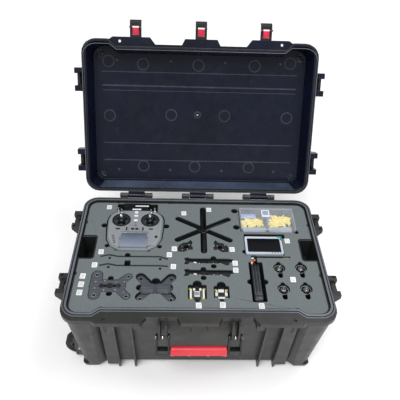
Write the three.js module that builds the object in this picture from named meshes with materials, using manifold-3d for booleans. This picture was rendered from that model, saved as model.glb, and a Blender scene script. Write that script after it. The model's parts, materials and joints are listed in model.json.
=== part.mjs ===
// A wheeled hard transport case, open, with a camera drone kit in its foam tray.
// Millimetres. +X runs to the right along the long side, +Y to the back, +Z up. The origin is on the
// floor under the middle of the case. The lid stands open and every latch is released.
import * as THREE from 'three';
import { mergeVertices } from 'three/addons/utils/BufferGeometryUtils.js';
import Module from 'manifold-3d';

const wasm = await Module();
wasm.setup();

// ---------------------------------------------------------------- driving dimensions
const gap = 0.3; // left between pieces that touch
const slack = 0.8; // running clearance beside a piece that slides or turns

const caseHalfX = 340; // rim, half of its length
const caseHalfY = 225; // rim, half of its depth
const rimTop = 246; // height of the base rim above the floor
const rimThick = 14;
const rimCorner = 40;
const rimStepBack = 19; // how far the rim steps back between the latches
const bayX = caseHalfX - 75; // inner end of the two front corner bays
const baySlope = 20;
const wall = 5;
const draft = 21; // how far a wall leans in from rim to bottom
const rimLip = 8; // how far the rim stands out over the wall
const frontLedge = 18; // extra width of the front rim
const tubBottom = 12;
const floorTop = 28;
const footHeight = tubBottom;

const lidHeight = 75;
const lidInnerDepth = 58;
const lidOpenDeg = 116;
const hingeBack = 12; // hinge axis behind the rim
const hingeSpacing = 188;
const hingeWidth = 98;
const knuckleR = 8;
const pinR = 3;

const latchSpacing = 188;
const latchWidth = 33;
const latchReach = 56; // pivot to tip
const latchPlate = 5;
const lockWidth = 18;
const lockLength = 20;
const lockTravel = 3;
const earThick = 16;
const earReach = 22; // how far the side ears stand out of the rim
const earClear = 0.5; // between an ear and its latch
const frontEarY = -105; // middle of each pair of ears
const rearEarY = 130;

const gripLength = 140;
const handlePivotZ = 186;
const wheelR = 40;
const wheelWidth = 28;
const wheelY = 145;
const trolleyTubeR = 7;
const trolleyTubeY = 60;

const trayThick = 80;
const trayTop = 240;
const storeWall = 45; // foam left round and between the two stores below the tray
const storeFloor = 20;
const pocketClear = 1.5; // beside a loose piece in its pocket

const radioHalf = 81;
const radioThick = 52;
const propBladeR = 89;
const propBladeWidth = 14;
const bladeCount = 3;
const sidePlateLength = 182;
const sidePlateThick = 2.6;
const boardSize = 36;
const batteryWidth = 24;
const batteryLength = 120;
const motorR = 15;
const monitorWidth = 105;
const monitorDepth = 66;
const partsBoxWidth = 162;
const partsBoxDepth = 94;

const axleR = 5;
const cheekThick = 5;
const trolleyZ = 14;
const coreHalf = 6; // of the bar inside the grip
const hookReach = rimThick + 20; // pivot to the front latches' claws
const sideHookReach = 43.5;
const plateLow = 10; // underside of a latch plate above its pivot
const latchPinR = 2.5;
const lockFrom = 16;
const sealIn = 4.2;
const sealOut = 8.6;
const sealHeight = 3.4;
const boxWall = 1.6;

const earSpread = (latchWidth + earThick) / 2 + earClear;
const frontEarPair = [frontEarY - earSpread, frontEarY + earSpread];
const rearEarPair = [rearEarY - earSpread, rearEarY + earSpread];
const backY = caseHalfY;
const hingeY = backY + hingeBack;
const hingeZ = rimTop;
const rimUnder = rimTop - rimThick;
const openTurn = -THREE.MathUtils.degToRad(lidOpenDeg);
const lidZ = rimTop + gap + 0.1; // underside of the lid rim when the lid is shut
const lidRimThick = 12;
const latchPivotY = -(caseHalfY - 9);
const latchPivotZ = lidZ + 18;
const sideLatchX = caseHalfX + 13;
const sideLatchZ = lidZ + 22;

// ---------------------------------------------------------------- materials
const finish = (color, roughness, metalness = 0) =>
  new THREE.MeshStandardMaterial({ color, roughness, metalness });
const shellBlack = finish(0x2b2c2b, 0.5);
const lidBlack = finish(0x23262b, 0.42);
const sealRubber = finish(0x15161a, 0.8);
const foamGrey = finish(0x6d7375, 0.95);
const gripRed = finish(0xe0404c, 0.45);
const lockRed = finish(0xe02845, 0.4);
const tyreBlack = finish(0x1b1b1c, 0.85);
const steel = finish(0xa8aaad, 0.3, 1);
const carbon = finish(0x2f3338, 0.45);
const mouldBlack = finish(0x141517, 0.6);
const radioGrey = finish(0xa9adae, 0.45, 0.2);
const boardGreen = finish(0xc8ccc4, 0.5);
const monitorGrey = finish(0xc5ced8, 0.45);
const clearPlastic = finish(0xd5dce4, 0.15);

// ---------------------------------------------------------------- solids
function solidOf(geometry) {
  geometry.deleteAttribute('normal');
  geometry.deleteAttribute('uv');
  const merged = mergeVertices(geometry, 1e-4);
  const vertProperties = new Float32Array(merged.attributes.position.array);
  const triVerts = new Uint32Array(merged.index.array);
  return new wasm.Manifold(new wasm.Mesh({ numProp: 3, vertProperties, triVerts }));
}

const join = (...solids) => solids.flat().reduce((whole, next) => whole.add(next));
const cut = (solid, ...tools) => tools.flat().reduce((rest, tool) => rest.subtract(tool), solid);

function block(x0, x1, y0, y1, z0, z1) {
  const geometry = new THREE.BoxGeometry(Math.abs(x1 - x0), Math.abs(y1 - y0), Math.abs(z1 - z0));
  return solidOf(geometry.translate((x0 + x1) / 2, (y0 + y1) / 2, (z0 + z1) / 2));
}

function disc(x, y, radius, z0, z1, sides = 16) {
  const geometry = new THREE.CylinderGeometry(radius, radius, z1 - z0, sides);
  return solidOf(geometry.rotateX(Math.PI / 2).translate(x, y, (z0 + z1) / 2));
}

// a round bar along X through (y, z), or along Y through (x, z)
function barX(x0, x1, y, z, radius, sides = 12) {
  const geometry = new THREE.CylinderGeometry(radius, radius, Math.abs(x1 - x0), sides);
  return solidOf(geometry.rotateZ(Math.PI / 2).translate((x0 + x1) / 2, y, z));
}

function barY(y0, y1, x, z, radius, sides = 12) {
  const geometry = new THREE.CylinderGeometry(radius, radius, Math.abs(y1 - y0), sides);
  return solidOf(geometry.translate(x, (y0 + y1) / 2, z));
}

const shapeOf = (points) => new THREE.Shape(points.map(([x, y]) => new THREE.Vector2(x, y)));

function slab(points, z0, z1) {
  const options = { depth: z1 - z0, bevelEnabled: false };
  return solidOf(new THREE.ExtrudeGeometry(shapeOf(points), options).translate(0, 0, z0));
}

// an outline of [y, z] points drawn out along X
function alongX(points, x0, x1) {
  const geometry = new THREE.ExtrudeGeometry(shapeOf(points), { depth: x1 - x0, bevelEnabled: false });
  const turn = new THREE.Matrix4().makeBasis(
    new THREE.Vector3(0, 1, 0),
    new THREE.Vector3(0, 0, 1),
    new THREE.Vector3(1, 0, 0),
  );
  return solidOf(geometry.applyMatrix4(turn).translate(x0, 0, 0));
}

// an outline of [x, z] points drawn out along Y
function alongY(points, y0, y1) {
  const geometry = new THREE.ExtrudeGeometry(shapeOf(points), { depth: y1 - y0, bevelEnabled: false });
  return solidOf(geometry.rotateX(Math.PI / 2).translate(0, y1, 0));
}

// a closed skin through rings of [x, y] points, each ring at its own height
function loft(rings) {
  const count = rings[0].points.length;
  const positions = rings.flatMap(({ points, z }) => points.flatMap(([x, y]) => [x, y, z]));
  const index = [];
  for (let ring = 0; ring + 1 < rings.length; ring += 1) {
    for (let i = 0; i < count; i += 1) {
      const a = ring * count + i;
      const b = ring * count + ((i + 1) % count);
      index.push(a, b, b + count, a, b + count, a + count);
    }
  }
  const flat = rings[0].points.map(([x, y]) => new THREE.Vector2(x, y));
  const last = (rings.length - 1) * count;
  const top = rings[rings.length - 1].points.map(([x, y]) => new THREE.Vector2(x, y));
  THREE.ShapeUtils.triangulateShape(flat, []).forEach(([a, b, c]) => index.push(a, c, b));
  THREE.ShapeUtils.triangulateShape(top, []).forEach(([a, b, c]) => {
    index.push(last + a, last + b, last + c);
  });
  const geometry = new THREE.BufferGeometry();
  geometry.setAttribute('position', new THREE.Float32BufferAttribute(positions, 3));
  geometry.setIndex(index);
  return solidOf(geometry);
}

// ---------------------------------------------------------------- outlines
function arc(x, y, radius, fromDeg, toDeg, steps = 5) {
  return Array.from({ length: steps + 1 }, (_, i) => {
    const angle = THREE.MathUtils.degToRad(fromDeg + ((toDeg - fromDeg) * i) / steps);
    return [x + radius * Math.cos(angle), y + radius * Math.sin(angle)];
  });
}

function roundRect(x, y, width, depth, radius, steps = 3) {
  const u = width / 2 - radius;
  const v = depth / 2 - radius;
  return [
    ...arc(x + u, y + v, radius, 0, 90, steps),
    ...arc(x - u, y + v, radius, 90, 180, steps),
    ...arc(x - u, y - v, radius, 180, 270, steps),
    ...arc(x + u, y - v, radius, 270, 360, steps),
  ];
}

// a slot with round ends between two points
function slot(x0, y0, x1, y1, width, steps = 5) {
  const along = THREE.MathUtils.radToDeg(Math.atan2(y1 - y0, x1 - x0));
  return [
    ...arc(x0, y0, width / 2, along + 90, along + 270, steps),
    ...arc(x1, y1, width / 2, along - 90, along + 90, steps),
  ];
}

// moves every side of an outline out by a distance
function grow(points, distance) {
  return points.map((point, i) => {
    const before = points[(i + points.length - 1) % points.length];
    const after = points[(i + 1) % points.length];
    const a = new THREE.Vector2(point[0] - before[0], point[1] - before[1]).normalize();
    const b = new THREE.Vector2(after[0] - point[0], after[1] - point[1]).normalize();
    const out = new THREE.Vector2(a.y + b.y, -a.x - b.x).normalize();
    const reach = distance / Math.max(0.5, out.x * a.y - out.y * a.x);
    return [point[0] + out.x * reach, point[1] + out.y * reach];
  });
}

// the case's outline at some height: its front steps back between two corner bays
function caseOutline({ inset, front = 0, step, corner }) {
  const x = caseHalfX - inset - corner;
  const back = caseHalfY - inset - corner;
  const bay = -(caseHalfY - inset - front);
  return [
    ...arc(x, back, corner, 0, 90),
    ...arc(-x, back, corner, 90, 180),
    ...arc(-x, bay + corner, corner, 180, 270),
    [-bayX, bay],
    [-bayX + baySlope, bay + step],
    [bayX - baySlope, bay + step],
    [bayX, bay],
    ...arc(x, bay + corner, corner, 270, 360),
  ];
}

// the rim's outline: full depth at the three latches, stepped back between them and at the corners
function rimOutline() {
  const x = caseHalfX - rimCorner;
  const y = caseHalfY - rimCorner;
  const stepY = -(caseHalfY - rimStepBack);
  const flangeY = -(caseHalfY - 2);
  const cornerFrontY = -(caseHalfY - rimLip + 1.5);
  const cornerEnd = latchSpacing - latchWidth / 2 - 26;
  const right = [
    [46, flangeY],
    [55, stepY],
    [cornerEnd - 15, stepY],
    [cornerEnd, -caseHalfY],
    [bayX - 14.3, -caseHalfY],
    [bayX - 4.7, cornerFrontY],
  ];
  return [
    ...arc(x, y, rimCorner, 0, 90),
    ...arc(-x, y, rimCorner, 90, 180),
    ...arc(-x, cornerFrontY + rimCorner, rimCorner, 180, 270),
    ...right.map(([u, v]) => [-u, v]).reverse(),
    ...right,
    ...arc(x, cornerFrontY + rimCorner, rimCorner, 270, 360),
  ];
}

const cavityTop = { inset: rimLip + wall, front: frontLedge, step: 15, corner: 28 };
const cavityBottom = { inset: rimLip + wall + draft - 3, front: frontLedge, step: 15, corner: 24 };
const wallTop = { inset: rimLip, front: 0, step: 17, corner: 36 };
const wallBottom = { inset: rimLip + draft, front: 0, step: 14, corner: 30 };

// blends the cavity's outline for any height, pulled in by a clearance
function cavityOutline(z, clear = 0) {
  const share = (z - floorTop) / (rimTop - floorTop);
  const at = (key) => cavityBottom[key] + (cavityTop[key] - cavityBottom[key]) * share;
  return caseOutline({
    inset: at('inset') + clear,
    front: at('front'),
    step: at('step'),
    corner: at('corner') - clear,
  });
}

// ---------------------------------------------------------------- base
const wheelX = -(caseHalfX - 20);
const wheelZ = wheelR + 2;
const wellHalf = wheelWidth / 2 + 4;

const earPairs = [frontEarPair, rearEarPair];
const sides = [-1, 1];

function ear(side, y, profile) {
  return alongY(side > 0 ? profile : profile.map(([x, z]) => [-x, z]).reverse(),
    y - earThick / 2, y + earThick / 2);
}

// a front rib that leans back with the wall
function frontRib(x0, x1, stand, z0 = tubBottom, z1 = rimUnder + 1, thick = 24) {
  const lean = (z) => ((rimUnder - z) / (rimUnder - tubBottom)) * (draft - 2);
  const y = (z) => -(caseHalfY - rimLip - 2) - stand + lean(z);
  return alongX([[y(z0), z0], [y(z0) + thick, z0], [y(z1) + thick, z1], [y(z1), z1]], x0, x1);
}

function sideRib(side, y0, y1, stand, z0 = tubBottom) {
  const x = (z) => caseHalfX - rimLip + stand - ((rimUnder - z) / (rimUnder - tubBottom)) * draft;
  const z1 = rimUnder + 1;
  const profile = [[x(z0) - 8, z0], [x(z0), z0], [x(z1), z1], [x(z1) - 8, z1]];
  return alongY(side > 0 ? profile : profile.map(([u, z]) => [-u, z]).reverse(), y0, y1);
}

function backRib(x0, x1, stand) {
  const y = (z) => caseHalfY - rimLip + stand - ((rimUnder - z) / (rimUnder - tubBottom)) * draft;
  const z1 = rimUnder + 1;
  return alongX([[y(tubBottom) - 8, tubBottom], [y(tubBottom), tubBottom], [y(z1), z1],
    [y(z1) - 8, z1]], x0, x1);
}

const hinges = [['left', -hingeSpacing], ['centre', 0], ['right', hingeSpacing]];
const latchPlaces = [['left', -latchSpacing], ['centre', 0], ['right', latchSpacing]];
const knuckleHalf = hingeWidth / 4 + 0.5;

function baseKnuckles() {
  return hinges.flatMap(([, x]) => sides.map((side) => {
    const near = x + side * (knuckleHalf + slack / 2);
    const far = x + (side * hingeWidth) / 2;
    const [x0, x1] = [Math.min(near, far), Math.max(near, far)];
    const arm = [
      [backY - 6, hingeZ - rimThick],
      [hingeY + knuckleR * 0.5, hingeZ - knuckleR * 0.85],
      [hingeY, hingeZ],
      [backY - 6, hingeZ - 2],
    ];
    const gusset = [[backY - 9, hingeZ - 46], [backY, hingeZ - 20], [hingeY, hingeZ - knuckleR],
      [backY - 9, hingeZ - 10]];
    return join(alongX(arm, x0, x1), alongX(gusset, x0, x1), barX(x0, x1, hingeY, hingeZ, knuckleR));
  }));
}

const handleX = gripLength / 2 + 20;
const bracketRibs = [handleX - 8, handleX + 8];
const handlePivotY = -(caseHalfY - 3);
const handlePinR = 3.5;

function handleBrackets() {
  const lean = [
    [-(caseHalfY - 30), handlePivotZ - 34],
    [handlePivotY - 6, handlePivotZ - 5],
    [handlePivotY - 7, handlePivotZ + 6],
    [-(caseHalfY - 2), rimUnder + 1],
    [-(caseHalfY - 32), rimUnder + 1],
  ].reverse();
  return sides.flatMap((side) => bracketRibs.map((x) => {
    const plate = alongX(lean, side * x - 2.5, side * x + 2.5);
    return cut(plate, barX(side * x - 4, side * x + 4, handlePivotY, handlePivotZ, handlePinR + gap));
  }));
}

function frontFins() {
  const wide = latchSpacing - latchWidth / 2;
  return sides.flatMap((side) => {
    const at = (x0, x1, ...rest) => frontRib(...[side * x0, side * x1].sort((a, b) => a - b), ...rest);
    return [
      at(wide - 7, wide - 2, 3, 5),
      at(wide + latchWidth + 3, wide + latchWidth + 8, 3, 5),
      at(wide + latchWidth + 8, wide + latchWidth + 38, -1, tubBottom),
      at(latchWidth / 2 + 2.5, latchWidth / 2 + 6, 2, 196),
      at(latchWidth / 2 + 6, latchWidth / 2 + 26, -4, 216),
      at(wide - 30, wide - 6, -3, 196),
    ];
  });
}

function cornerFeet() {
  const x0 = bayX - 4;
  const x1 = caseHalfX - rimLip - draft - 1;
  const y0 = caseHalfY - 60;
  const y1 = caseHalfY - rimLip - draft - 1;
  return sides.flatMap((sx) => sides.map((sy) => {
    const foot = (inset) => roundRect((sx * (x0 + x1)) / 2, (sy * (y0 + y1)) / 2,
      x1 - x0 - inset, y1 - y0 - inset, 8);
    return loft([{ points: foot(6), z: 0 }, { points: foot(0), z: footHeight + 2 }]);
  }));
}

const sideCatch = { inner: sideLatchX - 7, outer: sideLatchX + 5, low: sideLatchZ - 42, high: sideLatchZ - 32 };

function padlockHoles() {
  const holeX = latchSpacing + latchWidth / 2 + 26.5;
  return sides.flatMap((side) => [
    disc(side * holeX, -(caseHalfY - 12), 4, rimUnder - 40, rimTop + 40, 12),
    disc(side * (caseHalfX + 14), frontEarPair[1] + 4, 3.5, rimUnder - 60, rimTop + 2, 10),
    disc(side * (caseHalfX + 14), rearEarPair[0] - 3, 3.5, rimUnder - 60, rimTop + 2, 10),
  ]);
}

// hollows, open below, between the front wall's outer and inner skins
function frontCores() {
  const profile = (out, back) => {
    const outer = (z) => -(caseHalfY - rimLip - out - wall) + ((rimUnder - z) / (rimUnder - tubBottom)) * draft;
    const depth = frontLedge - back - wall;
    const [z0, z1] = [tubBottom - 2, rimUnder - wall];
    return [[outer(z0), z0], [outer(z0) + depth, z0], [outer(z1) + depth, z1], [outer(z1), z1]];
  };
  const mid = bayX - baySlope - wall;
  return [
    alongX(profile(wallTop.step, 2), -mid, mid),
    ...sides.map((side) => {
      const ends = [side * (bayX + 2), side * (caseHalfX - 50)].sort((a, b) => a - b);
      return alongX(profile(0, 0), ...ends);
    }),
  ];
}

const channelHalf = trolleyTubeY + 26;
const channelEndX = -(caseHalfX - 105);

function baseTub() {
  const outer = loft([
    { points: caseOutline(wallBottom), z: tubBottom },
    { points: caseOutline(wallTop), z: rimUnder + 1 },
  ]);
  const rim = slab(rimOutline(), rimUnder, rimTop);
  const earProfile = [
    [caseHalfX - 10, rimTop],
    [caseHalfX - 10, rimTop - 54],
    [caseHalfX - 2, rimTop - 42],
    [caseHalfX + earReach, rimTop - 12],
    [caseHalfX + earReach, rimTop],
  ];
  const ears = sides.flatMap((side) => earPairs.flat().map((y) => ear(side, y, earProfile)));
  const catches = sides.flatMap((side) => earPairs.map(([y0, y1]) =>
    block(side * sideCatch.inner, side * sideCatch.outer, y0, y1, sideCatch.low, sideCatch.high)));
  const sideRibs = sides.flatMap((side) => [
    ...earPairs.flatMap(([y0, y1]) => [
      sideRib(side, y0 - 4, y0 + 4, 2, side < 0 ? wheelR * 2 + 8 : tubBottom),
      sideRib(side, y1 - 4, y1 + 4, 2, side < 0 ? wheelR * 2 + 8 : tubBottom),
    ]),
    sideRib(side, -12, 38, 3, side < 0 ? wheelR * 2 + 8 : 60),
  ]);
  const backRibs = hinges.flatMap(([, x]) => sides.map((side) =>
    backRib(x + side * hingeWidth * 0.5 - 4, x + side * hingeWidth * 0.5 + 4, 2)));
  const housings = sides.map((side) =>
    block(-caseHalfX + 8, wheelX + wheelR + 9, side * (wheelY - wellHalf - cheekThick),
      side * (wheelY + wellHalf + cheekThick), tubBottom, wheelR * 2 + 12));
  const wells = sides.map((side) =>
    block(-caseHalfX - 40, wheelX + wheelR + 4, side * (wheelY - wellHalf),
      side * (wheelY + wellHalf), -2, wheelR * 2 + 7));
  const axleBores = sides.map((side) =>
    barY(side * (wheelY - wellHalf - cheekThick - 1), side * (wheelY + wellHalf + cheekThick + 1),
      wheelX, wheelZ, axleR + gap));
  const cavity = loft([
    { points: cavityOutline(floorTop), z: floorTop },
    { points: cavityOutline(rimTop), z: rimTop },
    { points: cavityOutline(rimTop + 2), z: rimTop + 2 },
  ]);
  const under = loft([
    { points: caseOutline({ ...wallBottom, inset: wallBottom.inset + 16 }), z: tubBottom - 2 },
    { points: caseOutline({ ...wallBottom, inset: wallBottom.inset + 16 }), z: floorTop - 4 },
  ]);
  const tubeExits = sides.map((side) =>
    barX(caseHalfX - 60, caseHalfX + 4, side * trolleyTubeY, trolleyZ, trolleyTubeR + slack));
  const shell = cut(join(outer, rim, ears, catches, sideRibs, backRibs, baseKnuckles(), handleBrackets(),
    frontFins(), cornerFeet()), cavity, under, frontCores());
  return cut(join(shell, housings), wells, axleBores, tubeExits, padlockHoles(),
    hinges.map(([, x]) => barX(x - hingeWidth / 2 - 1, x + hingeWidth / 2 + 1, hingeY, hingeZ,
      pinR + gap)));
}

const trolleyGripHalf = trolleyTubeY + 13;
const trolleyGripX = caseHalfX - rimLip - draft + 4;

function hingePin(x) {
  const half = hingeWidth / 2 + 1.5;
  return barX(x - half, x + half, hingeY, hingeZ, pinR);
}

function undersideCover() {
  const x0 = channelEndX - 6;
  const x1 = caseHalfX - 62;
  const outer = block(x0, x1, -channelHalf - 4, channelHalf + 4, 0, floorTop - 4 - gap);
  const room = block(x0 + 4, x1 + 5, -channelHalf, channelHalf, 4, floorTop);
  return cut(outer, room);
}

// ---------------------------------------------------------------- lid, drawn shut
const lidInner = { inset: rimLip + wall, front: 1, step: 19, corner: 28 };

function lidShell() {
  const top = lidZ + lidInnerDepth + 4.5;
  const ribTop = lidZ + lidHeight - 1;
  const outline = (inset) => caseOutline({ inset, front: 1, step: 18, corner: 36 });
  const body = loft([
    { points: outline(rimLip - 1), z: lidZ },
    { points: outline(rimLip + 6), z: top - 14 },
    { points: outline(rimLip + 12), z: top - 4 },
    { points: outline(rimLip + 18), z: top },
  ]);
  const inner = (inset) => caseOutline({ ...lidInner, inset: lidInner.inset + inset });
  const room = loft([
    { points: inner(-0.3), z: lidZ - 2 },
    { points: inner(0), z: lidZ },
    { points: inner(9), z: lidZ + lidInnerDepth - 8 },
    { points: inner(12), z: lidZ + lidInnerDepth },
  ]);
  const ribs = [-250, -150, -50, 50, 150, 250].map((x) => loft([
    { points: roundRect(x, 6, 44, 2 * caseHalfY - 100, 14), z: top - 3 },
    { points: roundRect(x, 6, 32, 2 * caseHalfY - 112, 10), z: ribTop },
  ]));
  const earProfile = [
    [caseHalfX - 14, lidZ],
    [caseHalfX + earReach, lidZ],
    [caseHalfX + earReach, sideLatchZ + 6],
    [caseHalfX + earReach - 6, sideLatchZ + 11],
    [caseHalfX - 14, sideLatchZ + 22],
  ];
  const ears = sides.flatMap((side) => earPairs.flat().map((y) => ear(side, y, earProfile)));
  const bossProfile = [
    [latchPivotY + 16, lidZ + 6],
    [latchPivotY + 16, latchPivotZ + 14],
    [latchPivotY - 4, latchPivotZ + 5],
    [latchPivotY - 6.5, latchPivotZ],
    [latchPivotY - 6.5, lidZ + 6],
  ].reverse();
  const bosses = latchPlaces.flatMap(([, x]) => sides.map((side) => {
    const near = x + side * (latchWidth / 2 + slack);
    const far = near + side * 5;
    return alongX(bossProfile, Math.min(near, far), Math.max(near, far));
  }));
  const knuckles = hinges.map(([, x]) => {
    const x0 = x - knuckleHalf + slack / 2;
    const x1 = x + knuckleHalf - slack / 2;
    const arm = [[backY - 10, lidZ], [hingeY, lidZ], [hingeY, hingeZ + knuckleR],
      [backY - 14, hingeZ + knuckleR + 18]];
    return join(alongX(arm, x0, x1), barX(x0, x1, hingeY, hingeZ, knuckleR));
  });
  const pinHoles = hinges.map(([, x]) => barX(x - 40, x + 40, hingeY, hingeZ, pinR + gap));
  const groove = cut(
    slab(sealOutline(sealOut + gap), lidZ - 1, lidZ + sealHeight + gap),
    slab(sealOutline(sealIn - gap), lidZ - 2, lidZ + sealHeight + 1),
  );
  const latchBoreHalf = latchWidth / 2 + 7.5;
  const latchBores = [
    ...latchPlaces.map(([, x]) => barX(x - latchBoreHalf, x + latchBoreHalf, latchPivotY, latchPivotZ,
      latchPinR + gap)),
    ...sides.flatMap((side) => earPairs.map(([y0, y1]) =>
      barY(y0 - 2, y1 + 2, side * sideLatchX, sideLatchZ, latchPinR + gap))),
  ];
  const reliefs = latchPlaces.map(([, x]) =>
    block(x - latchWidth / 2 - slack, x + latchWidth / 2 + slack, latchPivotY - 12, latchPivotY + 9,
      lidZ + 9, latchPivotZ + 30));
  const holeX = latchSpacing + latchWidth / 2 + 26.5;
  const padlocks = sides.map((side) => disc(side * holeX, -(caseHalfY - 12), 4, lidZ - 1, lidZ + 40, 12));
  const whole = join(body, slab(rimOutline(), lidZ, lidZ + lidRimThick), ribs, ears, bosses, knuckles);
  return cut(whole, room, groove, pinHoles, latchBores, reliefs, padlocks);
}

const sealOutline = (out) => caseOutline({
  ...lidInner, inset: lidInner.inset - out, corner: lidInner.corner + out,
});

function lidGasket() {
  return cut(
    slab(sealOutline(sealOut - gap), lidZ, lidZ + sealHeight),
    slab(sealOutline(sealIn + gap), lidZ - 1, lidZ + sealHeight + 1),
  );
}

// A latch in its own frame: the pivot runs along X, the plate reaches out along -Y, hooks point down.
function latchSolid(width, reach, hook) {
  const half = width / 2;
  const plateHigh = plateLow + latchPlate;
  const neck = [[5, -2], [5, 4], [-2, plateHigh], [-9, plateHigh], [-9, plateLow], [-4, 0], [-3, -4]];
  const plate = [[-6, plateLow], [-6, plateHigh], [-reach + 8, plateHigh], [-reach, plateHigh + 7],
    [-reach - 2, plateHigh + 5], [-reach + 5, plateLow]];
  const claw = [[-hook, plateLow + 1], [-hook - 5, plateLow + 1], [-hook - 5, -5], [-hook, -8]];
  const window = block(-lockWidth / 2 - gap, lockWidth / 2 + gap, -lockFrom - lockLength - lockTravel - 1,
    -lockFrom + gap, plateLow - 2, plateHigh + 9);
  const claws = sides.map((side) => {
    const [x0, x1] = [side * half, side * (half - 5.5)].sort((a, b) => a - b);
    return alongX(claw.slice().reverse(), x0, x1);
  });
  const body = join(
    alongX(neck.slice().reverse(), -half, half),
    alongX(plate.slice().reverse(), -half, half),
    barX(-half, half, 0, 0, 5),
    barX(-half - 5, half + 5, 0, 0, latchPinR, 10),
    claws,
  );
  return cut(body, window);
}

function lockSolid() {
  const [near, far] = [-lockFrom, -lockFrom - lockLength];
  const low = plateLow;
  const high = plateLow + latchPlate + 2.5;
  const profile = [[near, low], [far, low], [far, high - 1], [far + 4, high], [near - 4, high],
    [near, high - 1.5]];
  return alongX(profile, -lockWidth / 2, lockWidth / 2);
}

// ---------------------------------------------------------------- front handle
const gripY = handlePivotY - 13;
const gripZ = handlePivotZ - 38;

function handleFrame() {
  const plate = [
    ...arc(handlePivotY, handlePivotZ, 9, 20, 160, 5),
    [handlePivotY - 15, handlePivotZ - 24],
    [gripY - 9, gripZ - 2],
    ...arc(gripY, gripZ - 3, 10, 200, 330, 4),
    [handlePivotY + 3, handlePivotZ - 26],
  ];
  const arms = sides.flatMap((side) => [
    [gripLength / 2 + 2, gripLength / 2 + 7.5],
    [bracketRibs[1] + 4.5, bracketRibs[1] + 9],
  ].map(([a, b]) => alongX(plate, Math.min(side * a, side * b), Math.max(side * a, side * b))));
  const webs = sides.map((side) => {
    const [x0, x1] = [side * (gripLength / 2 + 4), side * (bracketRibs[1] + 6)].sort((a, b) => a - b);
    return block(x0, x1, gripY - 7, gripY + 7, gripZ - 10, gripZ + 6);
  });
  const pins = sides.map((side) =>
    barX(side * (gripLength / 2 + 1), side * (bracketRibs[1] + 11), handlePivotY, handlePivotZ, handlePinR));
  const core = block(-gripLength / 2 - 4, gripLength / 2 + 4, gripY - coreHalf, gripY + coreHalf,
    gripZ - coreHalf, gripZ + coreHalf);
  return join(arms, webs, pins, core);
}

function handleGrip() {
  const half = gripLength / 2;
  const outline = [
    ...arc(gripY - 1, gripZ + 3, 12, 20, 160, 5),
    [gripY - 13.5, gripZ - 2],
    [gripY - 12, gripZ - 12],
    [gripY - 8, gripZ - 15],
    [gripY + 7, gripZ - 15],
    [gripY + 11, gripZ - 10],
  ];
  const sleeve = alongX(outline, -half, half);
  const reach = coreHalf + gap;
  return cut(sleeve, block(-half - 1, half + 1, gripY - reach, gripY + reach, gripZ - reach, gripZ + reach));
}

// ---------------------------------------------------------------- wheels and pull handle
function wheel(y) {
  const half = wheelWidth / 2;
  const profile = [[0, -half], [wheelR - 4, -half], [wheelR, -half + 4], [wheelR, half - 4],
    [wheelR - 4, half], [26, half], [24, half - 3], [12, half - 3], [11, half], [0, half]]
    .map(([x, z]) => new THREE.Vector2(x, z));
  const body = solidOf(new THREE.LatheGeometry(profile, 24).translate(wheelX, y, wheelZ));
  return join(body, barY(y - wellHalf - cheekThick, y + wellHalf + cheekThick, wheelX, wheelZ, axleR));
}

function trolleyHandle() {
  const x0 = channelEndX + 4;
  const tubes = sides.map((side) => barX(x0, trolleyGripX + 8, side * trolleyTubeY, trolleyZ, trolleyTubeR));
  const grip = alongY([
    ...arc(trolleyGripX + 15, trolleyZ + 6, 9, -90, 90, 6),
    [trolleyGripX, trolleyZ + 15],
    [trolleyGripX, trolleyZ - 3],
  ], -trolleyGripHalf, trolleyGripHalf);
  const brace = block(x0 + 6, x0 + 22, -trolleyTubeY, trolleyTubeY, trolleyZ - 4, trolleyZ + 4);
  return join(tubes, grip, brace);
}

// ---------------------------------------------------------------- where the kit lies in the tray
const radio = { x: -181, y: 92, top: trayTop + 7 };
const radioPoints = [
  [-0.45, -77], [0.45, -77], [0.78, -62], [0.94, -36], [0.99, 8], [1, 40], [0.94, 58], [0.77, 72],
  [0.5, 79], [-0.5, 79], [-0.77, 72], [-0.94, 58], [-1, 40], [-0.99, 8], [-0.94, -36], [-0.78, -62],
].map(([u, v]) => [radio.x + u * radioHalf, radio.y + v]);
const gimbals = [['left', radio.x - radioHalf * 0.51], ['right', radio.x + radioHalf * 0.51]];
const gimbalY = radio.y + 35;
const gimbalR = 26.5;
const gimbalFloor = trayTop - 6;
const stickPivotZ = gimbalFloor + 8.5;
const toggles = [['outer_left', -0.66, 70], ['inner_left', -0.53, 64], ['inner_right', 0.53, 64],
  ['outer_right', 0.66, 70]].map(([name, u, v]) => [name, radio.x + u * radioHalf, radio.y + v]);

const propX = 15;
const propY = 100;
const propFloor = trayTop - 22;
const propAngles = { lower: 90, upper: 30 };

const sidePlates = [['rear', -7, 9], ['front', -39, 2]].map(([name, y, dip]) => {
  const x0 = -265;
  const x1 = x0 + sidePlateLength;
  return { name, route: [[x0, y - 1], [x0 + 22, y + 5], [x0 + 48, y - 0.5], [x1 - 22, y], [x1, y - dip]] };
});
const sidePlateFloor = trayTop - 34;

const shortPlates = [['rear', -22.5], ['front', -62.5]].map(([name, y]) => ({
  name,
  points: [[-38, -9], [-30, -9], [-24, -1], [-6, -5], [62, -5], [76, -12], [80, -10], [82, -2], [92, 1],
    [92, 8], [80, 10], [56, 10], [-22, 10], [-30, 13], [-38, 11], [-34, 1]].map(([x, v]) => [x, y + v]),
}));
const shallowFloor = trayTop - 12;

const brackets = [['left', -36, 1], ['right', 62, -1]].map(([name, x, hand]) => ({
  name,
  points: [[-18, -19], [-4, -20], [6, -12], [18, -12], [19, -4], [14, 2], [18, 14], [14, 22], [6, 14],
    [-6, 12], [-16, 4], [-20, -8]].map(([u, v]) => [x + hand * u, 33 + v]),
}));
brackets[1].points.reverse();

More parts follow.
